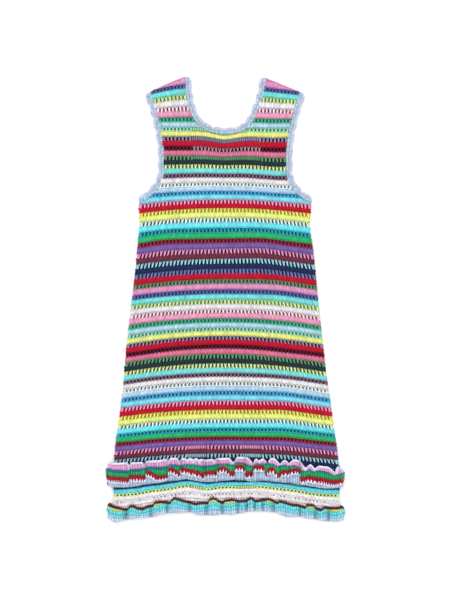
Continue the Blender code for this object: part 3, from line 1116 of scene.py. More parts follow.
@dataclass(frozen=True)
class CottonYarn:
    """Crocheted double knitting cotton: matt, softly twisted from plies, with short fibres standing off.

    The twist gives slanting grooves along each strand, the dye takes a little unevenly, and the fibres
    give a faint bright rim.
    """

    name: str
    roughness: float = 0.82
    sheen: float = 0.08
    sheen_roughness: float = 0.5
    ior: float = 1.45
    ply_mm: float = 1.6  # between the grooves along a strand; finer ones don't show
    ply_depth_mm: float = 0.22
    mottle_mm: float = 2.2  # size of the unevenness in the dye
    mottle: float = 0.14
    fibre_mm: float = 0.35
    on_strands: bool = True
    ply_slant: float = 38.0  # degrees
    ply_wave: float = 1.0 / math.pi  # the wave's scale that gives about one groove to a unit
    dye_range: tuple[float, float] = (0.3, 0.7)  # what of the noise the mottle is read from
    fibre_share: float = 0.35  # how high the fibres stand, for the plies
    bump: float = 0.8
    specular: float = 0.15

    def make(self) -> Material:
        """Makes the material.

        Returns:
            The material.
        """
        material = bpy.data.materials.new(self.name)
        material.use_nodes = True
        tree = material.node_tree
        shader = tree.nodes["Principled BSDF"]
        place = add_node(tree, "ShaderNodeTexCoord").outputs["Object"]
        yarn = add_node(tree, "ShaderNodeAttribute", attribute_name=YARN_COLOUR)
        size = {"Vector": place, "Scale": 1000.0 / self.mottle_mm, "Detail": 2.0}
        mottle = add_node(tree, "ShaderNodeTexNoise", size)
        low, high = self.dye_range
        span = {"From Min": low, "From Max": high, "To Min": 1.0 - self.mottle, "To Max": 1.0 + self.mottle}
        lightness = add_node(tree, "ShaderNodeMapRange", {"Value": mottle.outputs["Fac"], **span})
        dye = {"Color": yarn.outputs["Color"], "Value": lightness.outputs["Result"]}
        shaded = add_node(tree, "ShaderNodeHueSaturation", dye)
        size = {"Vector": place, "Scale": 1000.0 / self.fibre_mm, "Detail": 1.0}
        height = add_node(tree, "ShaderNodeTexNoise", size).outputs["Fac"]
        if self.on_strands:
            height = self.plied(tree, height)
        relief = {"Height": height, "Distance": self.ply_depth_mm / 1000.0, "Strength": self.bump}
        bump = add_node(tree, "ShaderNodeBump", relief)
        feed(shader, {"Base Color": shaded.outputs["Color"], "Normal": bump.outputs["Normal"]})
        feed(shader, {"Roughness": self.roughness, "IOR": self.ior, "Specular IOR Level": self.specular})
        feed(shader, {"Sheen Weight": self.sheen, "Sheen Roughness": self.sheen_roughness})
        return material

    def plied(self, tree: NodeTree, fibres: NodeSocket) -> NodeSocket:
        """Adds the slanting grooves between the plies to the height of the fibres.

        Args:
            tree: the material's nodes.
            fibres: their height.

        Returns:
            The height of both.
        """
        strand = add_node(tree, "ShaderNodeUVMap", uv_map=STRAND_MAP).outputs["UV"]
        turn, fine = (0.0, 0.0, math.radians(self.ply_slant)), 1000.0 / self.ply_mm
        laid = {"Vector": strand, "Rotation": turn, "Scale": (fine, fine, 1.0)}
        turned = add_node(tree, "ShaderNodeMapping", laid).outputs["Vector"]
        waves = {"wave_type": "BANDS", "bands_direction": "Y", "wave_profile": "SIN"}
        plies = add_node(tree, "ShaderNodeTexWave", {"Vector": turned, "Scale": self.ply_wave}, **waves)
        both = {0: fibres, 1: self.fibre_share, 2: plies.outputs["Fac"]}
        return add_node(tree, "ShaderNodeMath", both, operation="MULTIPLY_ADD").outputs["Value"]


def add_node(
    tree: NodeTree, kind: str, inputs: dict[Any, Any] | None = None, **settings: Any
) -> Node:
    """Adds a node to a material.

    Args:
        tree: the material's nodes.
        kind: the node's type.
        inputs: what its inputs are given.
        settings: the node's own settings.

    Returns:
        The node.
    """
    node = tree.nodes.new(kind)
    for name, value in settings.items():
        setattr(node, name, value)
    feed(node, inputs or {})
    return node


def feed(node: Node, inputs: dict[Any, Any]) -> None:
    """Sets inputs of a node.

    Args:
        node: the node.
        inputs: a value or another node's output for each input that is set.
    """
    for name, value in inputs.items():
        if isinstance(value, NodeSocket):
            node.id_data.links.new(value, node.inputs[name])
        else:
            node.inputs[name].default_value = value


@dataclass
class Panel:
    """The front or the back of the dress: its sheet, open in the open rows, and the stitches on it."""

    name: str
    node: str
    outline: Outline
    random: np.random.Generator
    is_front: bool
    gap_share: float = 1.0  # how wide its gaps are, for the stripes' own
    shift: float = 0.0  # how far its stitches are moved along, in widths
    margin: float = 0.0022  # what is left of the sheet beside the edge of the cloth
    most_off: float = 0.25  # how far a gap's face may be from its middle, for its half width
    least_part: float = 0.9  # how much of a gap's width and height its face has to take
    shades: tuple[float, float, float] = (0.85, 0.34, 0.75)  # painted shade of the sheet between the stitches: near the hem, of open and of closed rows
    lean_from_edge: float = 0.012
    most_triangles: int = 180_000
    known: dict[int, list[Array]] = field(default_factory=dict)

    @property
    def low(self) -> float:
        """Height of the sheet's underside."""
        return FRONT_BASE + 0.0001 if self.is_front else 0.0008

    @property
    def high(self) -> float:
        """Height of the sheet's upper side."""
        return FRONT_BASE + 0.0013 if self.is_front else 0.0014

    def half_gap(self, row: Row, place: float) -> float:
        """Half the width of a gap at a place on a row."""
        return 0.5 * self.gap_share * row.stripe.gap * PITCH * row.openness(place)

    def columns(self, row: Row) -> list[Array]:
        """The middles of the gaps in an open row, or the places between the stitches of a closed one.

        Args:
            row: the row.

        Returns:
            The places in each of its stretches.
        """
        found = []
        for start, end in self.outline.stretches(row.top, row.bottom):
            count = max(1, round((end - start) / PITCH))
            step = (end - start) / count
            found.append(start + step * (np.arange(count + 1) + self.shift))
        return found

    def sheet_piece(self, material: Material) -> Object:
        """Makes the sheet: its outline cut along the rows and at the gaps, whose faces are left out.

        Args:
            material: the yarn of its ground.

        Returns:
            The sheet's object.
        """
        sheet = bmesh.new()
        corners = zip(self.outline.across, -self.outline.level)
        sheet.faces.new([sheet.verts.new((x, y, 0.0)) for x, y in corners])
        sheet.normal_update()
        rows = panel_rows()
        for row in rows:
            cut(sheet.faces[:], sheet, (0.0, -row.bottom, 0.0), (0.0, 1.0, 0.0))
        by_row: list[list[BMFace]] = [[] for _ in rows]
        for face in sheet.faces:
            by_row[row_at(rows, -face.calc_center_median().y)].append(face)
        for row, faces in zip(rows, by_row):
            self.cut_row(sheet, row, faces)
        self.leave_gaps_out(sheet, rows)
        lower = list(sheet.verts)
        raised = bmesh.ops.extrude_face_region(sheet, geom=sheet.faces[:])["geom"]
        for vert in lower:
            vert.co.z = self.low
        for vert in (item for item in raised if isinstance(item, BMVert)):
            vert.co.z = self.high
        bmesh.ops.recalc_face_normals(sheet, faces=sheet.faces)
        mesh = bpy.data.meshes.new(self.name + "_cloth")
        sheet.to_mesh(mesh)
        sheet.free()
        self.paint(mesh, rows)
        flat = np.empty(len(mesh.vertices) * 3)
        mesh.vertices.foreach_get("co", flat)
        flat = flat.reshape(-1, 3)
        self.lean_gaps(flat, rows)
        placed = LIE.place(flat[:, 0], -flat[:, 1], flat[:, 2])
        mesh.vertices.foreach_set("co", placed.astype(np.float32).ravel())
        mesh.update()
        mesh.materials.append(material)
        return link(self.name + "_cloth", mesh)

    def lean_gaps(self, flat: Array, rows: list[Row]) -> None:
        """Moves the upper and lower ends of the gaps apart, so that they lean with the posts.

        Args:
            flat: the sheet's points, which are moved.
            rows: the panel's rows.
        """
        for row, below in zip(rows, rows[1:]):
            edge = np.abs(flat[:, 1] + row.bottom) < 1e-5
            way = 1.0 if below.is_open else -1.0
            height = below.bottom - below.top if below.is_open else row.bottom - row.top
            for start, end in self.outline.stretches(below.top, below.bottom):
                x = flat[:, 0]
                inside = np.clip(np.minimum(x - start, end - x) / self.lean_from_edge, 0.0, 1.0)
                lean = post_lean(x, np.full(len(x), row.bottom))
                flat[:, 0] += np.where(edge, way * 0.5 * height * lean * inside, 0.0)

    def cut_row(self, sheet: BMesh, row: Row, faces: list[BMFace]) -> None:
        """Cuts one row of the sheet at both sides of each gap, or between its stitches.

        Args:
            sheet: the sheet.
            row: the row.
            faces: the sheet's faces in it.
        """
        left = faces
        for middles in self.columns(row):
            for middle in middles:
                half = self.half_gap(row, middle) if row.has_gap(middle) else 0.0
                for place in sorted({middle - half, middle + half}):
                    left = cut(left, sheet, (place, 0.0, 0.0), (1.0, 0.0, 0.0))

    def leave_gaps_out(self, sheet: BMesh, rows: list[Row]) -> None:
        """Takes the faces of the gaps out of the sheet, apart from those at the cloth's edge.

        Args:
            sheet: the sheet, already cut.
            rows: the panel's rows.
        """
        gaps = []
        for face in sheet.faces:
            centre = face.calc_center_median()
            row = rows[row_at(rows, -centre.y)]
            if not row.has_gap(centre.x):
                continue
            xs = [v.co.x for v in face.verts]
            ys = [-v.co.y for v in face.verts]
            half = self.half_gap(row, centre.x)
            near = min(abs(centre.x - m) for middles in self.columns_of(row) for m in middles)
            if near > self.most_off * half or max(xs) - min(xs) < 2.0 * self.least_part * half:
                continue
            around = np.array([min(xs) - self.margin, max(xs) + self.margin])
            if max(ys) - min(ys) < self.least_part * (row.bottom - row.top):
                continue
            if self.outline.holds(np.repeat(around, 2), np.tile([row.top, row.bottom], 2)).all():
                gaps.append(face)
        bmesh.ops.delete(sheet, geom=gaps, context="FACES")
        LOG.info("%s: %d gaps", self.name, len(gaps))

    def columns_of(self, row: Row) -> list[Array]:
        """The middles of a row's gaps, worked out once."""
        if row.number not in self.known:
            self.known[row.number] = self.columns(row)
        return self.known[row.number]

    def paint(self, mesh: Mesh, rows: list[Row]) -> None:
        """Gives the sheet its stripes, darkened as painted shade between the stitches, and painted dark on
        an inner face as the deep shade there.

        Args:
            mesh: the sheet's mesh.
            rows: the panel's rows.
        """
        pale, deep, shut = self.shades
        shades = [pale if row.number >= WHITE_FROM else deep if row.is_open else shut for row in rows]
        outer = np.array([linear(row.stripe.yarn.value) * shade for row, shade in zip(rows, shades)])
        # Painted shade: inner faces and the gaps' walls take the dark colours that stand for the deep shade
        inner = np.array([linear(row.stripe.behind) for row in rows])
        colours = np.empty((len(mesh.loops), 3))
        for face in mesh.polygons:
            row = row_at(rows, -face.center.y)
            faces_out = face.normal.z > 0.5 if self.is_front else face.normal.z < -0.5
            start, end = face.loop_start, face.loop_start + face.loop_total
            colours[start:end] = outer[row] if faces_out else inner[row]
        paint_corners(mesh, colours)

    def stitch_pieces(self, material: Material) -> list[Object]:
        """Works the stitches of all the rows, in pieces of a size that is easily handled.

        Args:
            material: their yarn.

        Returns:
            The pieces' objects.
        """
        side = FrontFace() if self.is_front else BackOuterFace()
        pieces = []
        work = StitchWork(f"{self.name}_rows_1", self.random)
        for row in panel_rows():
            for start, end in self.outline.stretches(row.top, row.bottom):
                side.work_row(work, row, self.outline, (start, end), self.shift)
            if work.triangles() > self.most_triangles:
                pieces.append(work.make(material))
                work = StitchWork(f"{self.name}_rows_{len(pieces) + 1}", self.random)
        if work.triangles():
            pieces.append(work.make(material))
        return pieces


def cut(
    faces: list[BMFace], sheet: BMesh, place: Sequence[float], normal: Sequence[float]
) -> list[BMFace]:
    """Cuts faces along a line.

    Args:
        faces: what is cut.
        sheet: their sheet.
        place: a point on the line.
        normal: what the line is square to, across or down.

    Returns:
        The faces on the far side of the line, and those that it cut.
    """
    crossed, beyond = [], []
    axis = 0 if normal[0] else 1
    at = place[axis]
    for face in faces:
        values = [v.co[axis] for v in face.verts]
        if max(values) <= at + 1e-7:
            continue
        (crossed if min(values) < at - 1e-7 else beyond).append(face)
    if not crossed:
        return beyond
    parts = set(crossed)
    parts.update(e for f in crossed for e in f.edges)
    parts.update(v for f in crossed for v in f.verts)
    made = bmesh.ops.bisect_plane(sheet, geom=list(parts), dist=1e-6, plane_co=place, plane_no=normal)
    cut_faces = [item for item in made["geom"] if isinstance(item, BMFace)]
    return beyond + [f for f in cut_faces if f.calc_center_median()[axis] > at]


LEAN = -0.30  # of the stitches far out at the sides, for their height
LEAN_WIDTH = 0.11  # how far out they lean nearly in full
LEAN_LEVELS, LEAN_SHARES = (0.09, 0.16, 0.24, 0.30), (-0.4, 0.0, 0.6, 1.0)


def post_lean(place: Array, level: Array) -> Array:
    """How far the upper ends of stitches lean, for their height: outwards on the straps, inwards below."""
    return LEAN * np.tanh(place / LEAN_WIDTH) * np.interp(level, LEAN_LEVELS, LEAN_SHARES)


class Face:
    """How the rows are worked, as seen on one face of a panel."""

    base = 0.0
    closed: tuple[Strand, ...] = ()
    opened: tuple[Strand, ...] = ()
    sill: tuple[Strand, ...] = ()
    teeth: tuple[Strand, ...] = ()
    arch: tuple[Strand, ...] = ()  # the lowest loops of the row above, over a gap
    foot: tuple[Strand, ...] = ()  # the topmost loops of the row below, under it
    dense: tuple[Strand, ...] = ()  # an open row in a patch, where its posts stand close together
    dotted: tuple[Strand, ...] = ()  # an open row whose gaps are dots
    unevenness = 0.0
    tip = 0.25  # how much of a row's height its tips reach up
    least_drop = 0.001
    cut_from = 0.0001  # a row whose cloth starts this far below its upper edge is cut there

    def work_row(
        self, work: StitchWork, row: Row, outline: Outline, stretch: tuple[float, float], shift: float
    ) -> None:
        """Works one stretch of a row.

        Args:
            work: what the stitches are gathered in.
            row: the row.
            outline: the panel's edge.
            stretch: where it starts and ends.
            shift: how far the stitches are moved along, in widths.
        """
        colour = linear(row.stripe.yarn.value)
        cells = Cells.along_row(*stretch, PITCH, row.top, row.bottom, colour, self.base, shift)
        if not len(cells.start):
            return
        middle = cells.start + 0.5 * cells.width
        upper, lower = outline.reach(middle, row.top, row.bottom)
        cells.top, cells.drop = upper, np.maximum(lower - upper, self.least_drop)
        is_cut = upper > row.top + self.cut_from
        cells.top = cells.top + np.where(is_cut, self.tip * cells.drop, 0.0)
        cells.drop = cells.drop * np.where(is_cut, 1.0 - self.tip, 1.0)
        cells.lean = post_lean(middle, upper) + self.unevenness * work.random.standard_normal(len(middle))
        is_open = np.array([row.is_open_at(place) for place in middle])
        for patch in PATCHES:
            if patch.row == row.number and patch.yarn:
                inside = (middle > patch.start) & (middle < patch.end)
                cells.colour[inside] = linear(patch.yarn.value)
        work.work(self.dotted if row.number in DOTTED_ROWS else self.opened, cells.only(is_open), LIE)
        work.work(self.dense if row.is_open else self.closed, cells.only(~is_open), LIE)
        if row.stripe.has_sill:
            work.work(self.sill, cells.only(is_open & ~is_cut), LIE)
        if row.number == TOOTHED_ROW:
            work.work(self.teeth, cells, LIE)
        for loops, number in ((self.arch, row.number - 1), (self.foot, row.number + 1)):
            near = cells.only(is_open & ~is_cut)
            near.colour = np.tile(linear(stripe_of(number).yarn.value), (len(near.start), 1))
            if loops is self.foot and row.stripe.has_sill:
                continue
            work.work(loops, near, LIE)


class FrontFace(Face):
    """The front's outer face, as seen from above."""

    base = FRONT_BASE + 0.0012
    unevenness = 0.07
    # The last value of a strand is its painted lightness: painted highlights and painted shade
    closed = strands(
        ((-2, -16, 8), (3, 45, 19), (0, 110, 6), 37, 0.5, 2, 1.05),
        ((26, -10, 8), (22, 50, 16), (26, 110, 5), 35, 0.5, 2, 0.92),
        ((50, -16, 8), (54, 50, 18), (50, 110, 6), 36, 0.5, 2, 1.02),
        ((74, -10, 8), (78, 50, 16), (74, 110, 5), 35, 0.5, 2, 0.9),
        ((8, 36, 13), (25, 24, 20), (42, 34, 13), 20, 0.7, 2, 1.08),
        ((58, 70, 13), (75, 60, 20), (92, 72, 13), 20, 0.7, 2, 1.06),
    )
    opened = strands(
        ((22, -20, 10), (37, 40, 13), (44, 102, 2), 22, 0.75, 2),
        ((78, -20, 10), (63, 40, 13), (56, 102, 2), 22, 0.75, 2),
        ((34, 52, 9), (50, 42, 16), (66, 34, 9), 18, 0.8, 2, 1.03),
        ((50, 50, 8), (50, 85, 24), (50, 118, 12), 31, 0.7, 2, 1.1),
    )
    sill = strands(
        ((-40, 98, 8), (0, 84, 15), (40, 98, 8), 30, 0.7, 2, 1.0),
    )
    teeth = strands(
        ((20, -34, 20), (25, 10, 30), (25, 60, 10), 26, 0.7, 2, 0.96),
        ((70, -34, 20), (75, 10, 30), (75, 60, 10), 26, 0.7, 2, 1.02),
    )
    arch = strands(
        ((-34, -14, 16), (0, 22, 24), (34, -14, 16), 20, 0.7, 2, 1.12),
    )
    foot = strands(
        ((0, 78, 4), (0, 105, 12), (0, 135, 10), 32, 0.6, 2, 0.88),
    )
    dense = strands(
        ((24, -14, 10), (26, 45, 18), (24, 106, 4), 23, 0.8, 2, 1.1),
        ((76, -14, 10), (74, 45, 18), (76, 106, 4), 23, 0.8, 2, 1.04),
    )
    dotted = opened + strands(
        ((-42, 6, 10), (0, 14, 18), (42, 6, 10), 26, 0.7, 2, 0.98),
        ((-42, 98, 8), (0, 90, 14), (42, 98, 8), 24, 0.7, 2, 1.02),
    )


class BackOuterFace(Face):
    """The back's outer face, which lies on the floor."""

    base = 0.0009
    closed = strands(
        ((4, -16, -3), (-2, 45, -4), (2, 105, 0), 42, 0.24, 2),
        ((54, -6, -3), (48, 45, -4), (52, 105, 0), 42, 0.24, 2, 0.95),
    )
    opened = strands(
        ((28, -12, -3), (39, 45, -4), (42, 104, 0), 23, 0.45, 2),
        ((72, -12, -3), (61, 45, -4), (58, 104, 0), 23, 0.45, 2),
    )
    dense = closed
    dotted = opened


@dataclass
class Net:
    """A strip of cloth between two lines, as points along each of them."""

    run: Array  # how far along the strip each pair of points is
    upper: Array
    lower: Array
    upper_out: Array  # which way is out of the cloth, at each point
    lower_out: Array

    def place(self, along: Array, down: Array, height: Array) -> Array:
        """Turns places along the strip, from 0 on its upper line to 1 on its lower one, into points.

        Args:
            along: how far along the strip.
            down: from 0 to 1.
            height: how far out of the cloth.

        Returns:
            The points.
        """
        at = np.interp(along, self.run, np.arange(len(self.run)))
        first = np.clip(np.floor(at).astype(int), 0, len(self.run) - 2)
        part = (at - first)[..., None]
        down = down[..., None]
        lines = (self.upper, self.lower, self.upper_out, self.lower_out)
        between = (line[first] * (1.0 - part) + line[first + 1] * part for line in lines)
        upper, lower, upper_out, lower_out = between
        out = upper_out * (1.0 - down) + lower_out * down
        out /= np.maximum(np.linalg.norm(out, axis=-1, keepdims=True), 1e-9)
        return upper * (1.0 - down) + lower * down + out * height[..., None]

    def depth(self, along: Array) -> Array:
        """How far apart the two lines are."""
        apart = np.linalg.norm(self.lower - self.upper, axis=-1)
        return np.interp(along, self.run, apart)


@dataclass(frozen=True)
class Band:
    """One row of a ruffle or an edging: its yarn, and what it is worked in."""

    yarn: Yarn
    stitch: tuple[Strand, ...]
    ground: float = 0.7  # how light the sheet under it is drawn, for its yarn: painted shade between the stitches
    pitch: float = 0.00365
    shaded: float = 1.0  # how much of the painted crease shade it takes


# The last value of a strand is its painted lightness: painted highlights and painted shade
RIM = strands(
    ((-20, 30, 8), (45, -2, 28), (115, 34, 8), 28, 0.8, 2, 1.04),
    ((30, 10, 8), (26, 60, 18), (34, 112, 10), 30, 0.6, 2, 0.98),
    ((80, 20, 6), (76, 60, 16), (82, 102, 8), 28, 0.6, 2, 0.9),
)
POSTS = strands(
    ((28, -12, 10), (24, 45, 17), (30, 110, 8), 31, 0.6, 2, 1.08),
    ((76, -4, 8), (80, 45, 12), (74, 100, 6), 25, 0.6, 2, 0.78),
)
TIPS = strands(
    ((48, -36, 26), (52, 20, 34), (50, 108, 8), 28, 0.7, 2, 1.06),
    ((0, -10, 10), (3, 50, 18), (0, 116, 8), 31, 0.6, 2, 0.88),
)
TEETH = strands(
    ((48, -74, 32), (52, 0, 44), (50, 100, 12), 27, 0.7, 2, 1.08),
    ((-30, 66, 12), (3, 50, 22), (34, 66, 12), 46, 0.5, 2, 0.96),
)
NICKS = strands(
    ((48, -66, 20), (52, 10, 30), (50, 100, 10), 37, 0.6, 2, 1.12),
    ((-30, 62, 10), (3, 46, 18), (34, 62, 10), 44, 0.5, 2, 0.96),
)
FRINGE = strands(
    ((48, -30, 12), (52, 40, 22), (50, 114, 6), 30, 0.6, 2, 1.06),
    ((0, -12, 8), (3, 50, 13), (0, 98, 4), 28, 0.6, 2, 0.82),
)
CORD = strands(
    ((-20, 40, 6), (45, 20, 16), (115, 35, 6), 24, 0.8, 2),
    ((-5, 90, 6), (55, 70, 12), (110, 85, 6), 22, 0.8, 2, 0.85),
)
# A slit is one dark strand of painted shade
SLIT = strands(
    ((50, 0, 12), (50, 50, 22), (50, 100, 12), 26, 0.4, 2),
)
SLIT_WIDTH = 0.0016
SLIT_SHADE = 0.6
TIP_PITCH = 0.0046
TOOTH_PITCH = 0.0050


@dataclass
class Ruffle:
    """A strip gathered into lobes, worked in rows of their own colours."""

    name: str
    node: str
    folds: tuple[Fold, ...]
    sections: tuple[Section, ...]
    bands: tuple[Band, ...]
    bulge: float
    random: np.random.Generator
    is_front: bool
    column: float = 0.0008  # between the columns of points
    thickness: float = 0.0009
    seat: float = 0.0003  # how far over its surface a front sheet lies
    back_seat: float = 0.0002  # and how far inside the cloth a back one does
    bulge_from: float = 0.200
    swell_top: float = 1.25  # how fast the ends swell out below the top edge
    swell_foot: float = 0.2  # how much they draw in again at the foot
    drop_left: float = 0.2250
    drop_right: float = 0.2315
    drop_run: float = 0.0080
    crease_depth: float = 0.3
    crease_width: float = 0.0032
    crease_from: float = 0.22
    crease_run: float = 0.15
    crease_shade: float = 0.42  # painted shade: how much darker the yarn is drawn beside a crease
    crease_shade_width: float = 0.0026
    has_soft_valleys: bool = False
    corner: float = 0.0056  # how wide the slope is from a notch to the top of a lobe
    sweep: float = 2.0  # how much longer the slopes down to the right are, from `swept_whole` on
    sweep_up: float = 0.6  # the same for those up from the left
    past_middle: float = 1.15  # how far a slope down may reach past its lobe's middle
    swept_from: float = -0.01
    swept_whole: float = 0.02
    overlap: float = 0.0008  # of the stitches of two lobes, where they meet
    least_rise: float = 0.0004
    least_worked: float = 0.0006  # a row thinner than this has no stitches
    back_flatness: float = 0.3  # how high the stitches stand that the dress lies on
    slits: tuple[Slit, ...] = ()
    slit_from: float = 0.2  # at what share of the way to the foot a slit's height is read, at its top
    slit_to: float = 0.5

    def across(self) -> Array:
        """Where the columns are, before the ends swell out."""
        start, end = self.folds[0].across, self.folds[-1].across
        return np.linspace(start, end, round((end - start) / self.column) + 1)

    def between_folds(self, across: Array, name: str, sharp: bool = False) -> Array:
        """Reads a column of the folds, eased between each crest and valley.

        Args:
            across: where it is read.
            name: the column.
            sharp: whether the valleys are creased, as soft tubes leave them.

        Returns:
            Its values.
        """
        start, end, share = beside(self.folds, name, across)
        if not sharp:
            return start + (end - start) * smooth_step(share)
        rising = end > start
        eased = np.where(rising, np.sin(0.5 * np.pi * share), 1.0 - np.sin(0.5 * np.pi * (1.0 - share)))
        return start + (end - start) * eased

    def valleys(self) -> Array:
        """Where the lobes meet, and the strip's two ends."""
        trios = zip(self.folds, self.folds[1:], self.folds[2:])
        inner = [b.across for a, b, c in trios if b.height < min(a.height, c.height)]
        return np.array([self.folds[0].across, *inner, self.folds[-1].across])

    def lobe_rise(self, across: Array, inset: float = 0.0) -> Array:
        """How far up the outline of a lobe is, from 0 in the notch beside it to 1 along its top.

        Args:
            across: where.
            inset: how far from the notch the line starts to rise.

        Returns:
            The shares.
        """
        valleys = self.valleys()
        lobe = np.clip(np.searchsorted(valleys, across) - 1, 0, len(valleys) - 2)
        left, right = valleys[lobe], valleys[lobe + 1]
        longest = 0.5 * (right - left) - inset
        swept = np.interp(across, (self.swept_from, self.swept_whole), (0.0, 1.0))
        up, down = self.corner * (1.0 + self.sweep_up * swept), self.corner * (1.0 + self.sweep * swept)
        from_left = (across - left - inset) / np.minimum(up, longest)
        from_right = (right - across - inset) / np.minimum(down, self.past_middle * longest)
        return 0.5 - 0.5 * np.cos(np.pi * np.clip(np.minimum(from_left, from_right), 0.0, 1.0))

    def crest_line(self, across: Array) -> Array:
        """The places down of the tops of the lobes, as if there were no valleys.

        Args:
            across: where.

        Returns:
            The places down.
        """
        valleys = self.valleys()
        crests = [f for f in self.folds if f.across not in valleys]
        start, end, share = beside(crests, "top", across)
        return start + (end - start) * smooth_step(share)

    def valley_line(self, across: Array) -> Array:
        """The places down of the bottoms of the notches between the lobes."""
        valleys = self.valleys()
        notches = [EdgePoint(f.across, f.top) for f in self.folds if f.across in valleys]
        return line_down(notches, across)

    def lines(self, across: Array) -> list[Array]:
        """The places down of the lines between the rows, for each column."""
        raise NotImplementedError

    def nets(self) -> list[Net]:
        """The surface that each row lies on.

        Returns:
            A net for each row, from the top.
        """
        across = self.across()
        lines = np.stack(self.lines(across), 1)
        top, foot = lines[:, :1], lines[:, -1:]
        share = (lines - top) / (foot - top)
        end = max(abs(self.folds[0].across), abs(self.folds[-1].across))
        near_end = np.maximum(np.abs(across) - self.bulge_from, 0.0) / (end - self.bulge_from)
        rounded = np.minimum(self.swell_top * share, 1.0 - self.swell_foot * share)
        swell = self.bulge * near_end[:, None] * np.sin(np.pi * rounded)
        swollen = across[:, None] + np.sign(across)[:, None] * swell
        height = np.zeros_like(lines)
        if self.is_front:
            fold = self.fold_height(across)[:, None] * self.creased(across, share)
            height = self.stands(swollen, share, fold)
        points = np.stack([swollen, LENGTH / 2.0 - lines, height], -1)
        along, down = np.gradient(points, axis=0), np.gradient(points, axis=1)
        out = np.cross(down, along)
        out /= np.maximum(np.linalg.norm(out, axis=-1, keepdims=True), 1e-9)
        steps = np.linalg.norm(np.diff(points[:, len(self.bands) // 2], axis=0), axis=-1)
        run = np.concatenate([[0.0], np.cumsum(steps)])
        if not self.is_front:
            out = -out
        return [
            Net(run, points[:, i], points[:, i + 1], out[:, i], out[:, i + 1])
            for i in range(len(self.bands))
        ]

    def fold_height(self, across: Array) -> Array:
        """How high the folds are at places across, where they stand in full."""
        return self.between_folds(across, "height", not self.has_soft_valleys)

    def stands(self, across: Array, share: Any, fold: Array) -> Array:
        """How high the strip stands.

        Args:
            across: where.
            share: how much of the way from its top to its foot each place is.
            fold: the folds' height there.

        Returns:
            The heights, before the sheet's own.
        """
        wave = np.interp(share, [s.share for s in self.sections], [s.wave for s in self.sections])
        base = np.interp(share, [s.share for s in self.sections], [s.base for s in self.sections])
        side = np.where(across < 0.0, self.drop_left, self.drop_right)
        sunk = np.clip((np.abs(across) - side) / self.drop_run, 0.0, 1.0)
        height = LIFT + base + wave * fold
        return height + sunk * (LIFT - height)

    def shade(self, across: Array) -> Array:
        """How light the yarn is drawn for its colour: painted shade in the creases that one lobe casts its
        shade into.

        Args:
            across: where.

        Returns:
            The lightness, 1 away from the creases.
        """
        creases = np.array(self.creases())
        if not len(creases):
            return np.ones(len(across))
        apart = np.abs(across[:, None] - creases[None]).min(1)
        return 1.0 - self.crease_shade * np.exp(-((apart / self.crease_shade_width) ** 2))

    def creases(self) -> list[float]:
        """Where the deepest creases are."""
        return self.steps()

    def work_slits(self, work: StitchWork) -> None:
        """Lays dark strands of painted shade in the mouths of the pressed folds.

        Args:
            work: what the strands are gathered in.
        """
        out = np.tile(np.array([0.0, 0.0, 1.0]), (2, 1))
        width, colour = SLIT_WIDTH, linear(Yarn.PLUM.value) * SLIT_SHADE
        for slit in self.slits:
            at = slit.across + np.array([-0.5 * width, 0.5 * width])
            fold, top, foot = self.fold_height(at), np.full(2, slit.top), np.full(2, slit.foot)
            upper = np.stack([at, LENGTH / 2.0 - top, self.stands(at, self.slit_from, fold)], 1)
            lower = np.stack([at + slit.slant, LENGTH / 2.0 - foot, self.stands(at, self.slit_to, fold)], 1)
            net = Net(np.array([0.0, width]), upper, lower, out, out)
            cells = Cells.along_row(0.0, width, width, 0.0, 1.0, colour, self.thickness)
            cells.rise = np.full(1, slit.foot - slit.top)
            work.work(SLIT, cells, net)

    def creased(self, across: Array, share: Array) -> Array:
        """How much of its height the cloth keeps beside the steps.

        Args:
            across: where.
            share: how much of the way to the foot each place is.

        Returns:
            The shares of the height.
        """
        if not self.steps():
            return np.ones_like(share)
        apart = np.abs(across[:, None] - np.array(self.steps())[None]).min(1)[:, None]
        below = smooth_step((share - self.crease_from) / self.crease_run)
        return 1.0 - self.crease_depth * below * np.exp(-((apart / self.crease_width) ** 2))

    def length(self) -> float:
        """How long the strip is, ungathered."""
        return float(self.nets()[0].run[-1])

    def sheet_piece(self, material: Material) -> Object:
        """Makes the strip's sheet.

        Args:
            material: the yarn of its ground.

        Returns:
            The sheet's object.
        """
        nets = self.nets()
        levels = [net.upper for net in nets] + [nets[-1].lower]
        low = self.seat if self.is_front else CLOTH - self.back_seat - self.thickness
        mesh = cloth_on_lines(self.name + "_cloth", levels, low, self.thickness)
        self.paint(mesh, levels)
        mesh.materials.append(material)
        return link(self.name + "_cloth", mesh)

    def paint(self, mesh: Mesh, levels: list[Array]) -> None:
        """Gives the sheet its rows' colours, darkened by each band's ground share as painted shade between
        the stitches.

        Args:
            mesh: the sheet's mesh.
            levels: the lines between its rows.
        """
        shades = np.array([linear(band.yarn.value) * band.ground for band in self.bands])
        order = np.argsort(levels[0][:, 0])
        colours = np.empty((len(mesh.loops), 3))
        for face in mesh.polygons:
            lines = [np.interp(face.center.x, level[order, 0], level[order, 1]) for level in levels[1:-1]]
            row = sum(face.center.y < line for line in lines)
            colours[face.loop_start : face.loop_start + face.loop_total] = shades[row]
        paint_corners(mesh, colours)

    def stitch_piece(self, material: Material) -> Object:
        """Works the rows.

        Args:
            material: their yarn.

        Returns:
            The stitches' object.
        """
        work = StitchWork(self.name + "_rows", self.random)
        base = -(CLOTH - self.back_seat - self.thickness)
        if self.is_front:
            base = self.seat + self.thickness - 0.0001
        for band, net in zip(self.bands, self.nets()):
            for start, end in self.lobes(net):
                self.work_band(work, band, net, start, end, base)
        if self.is_front:
            self.work_slits(work)
        return work.make(material)

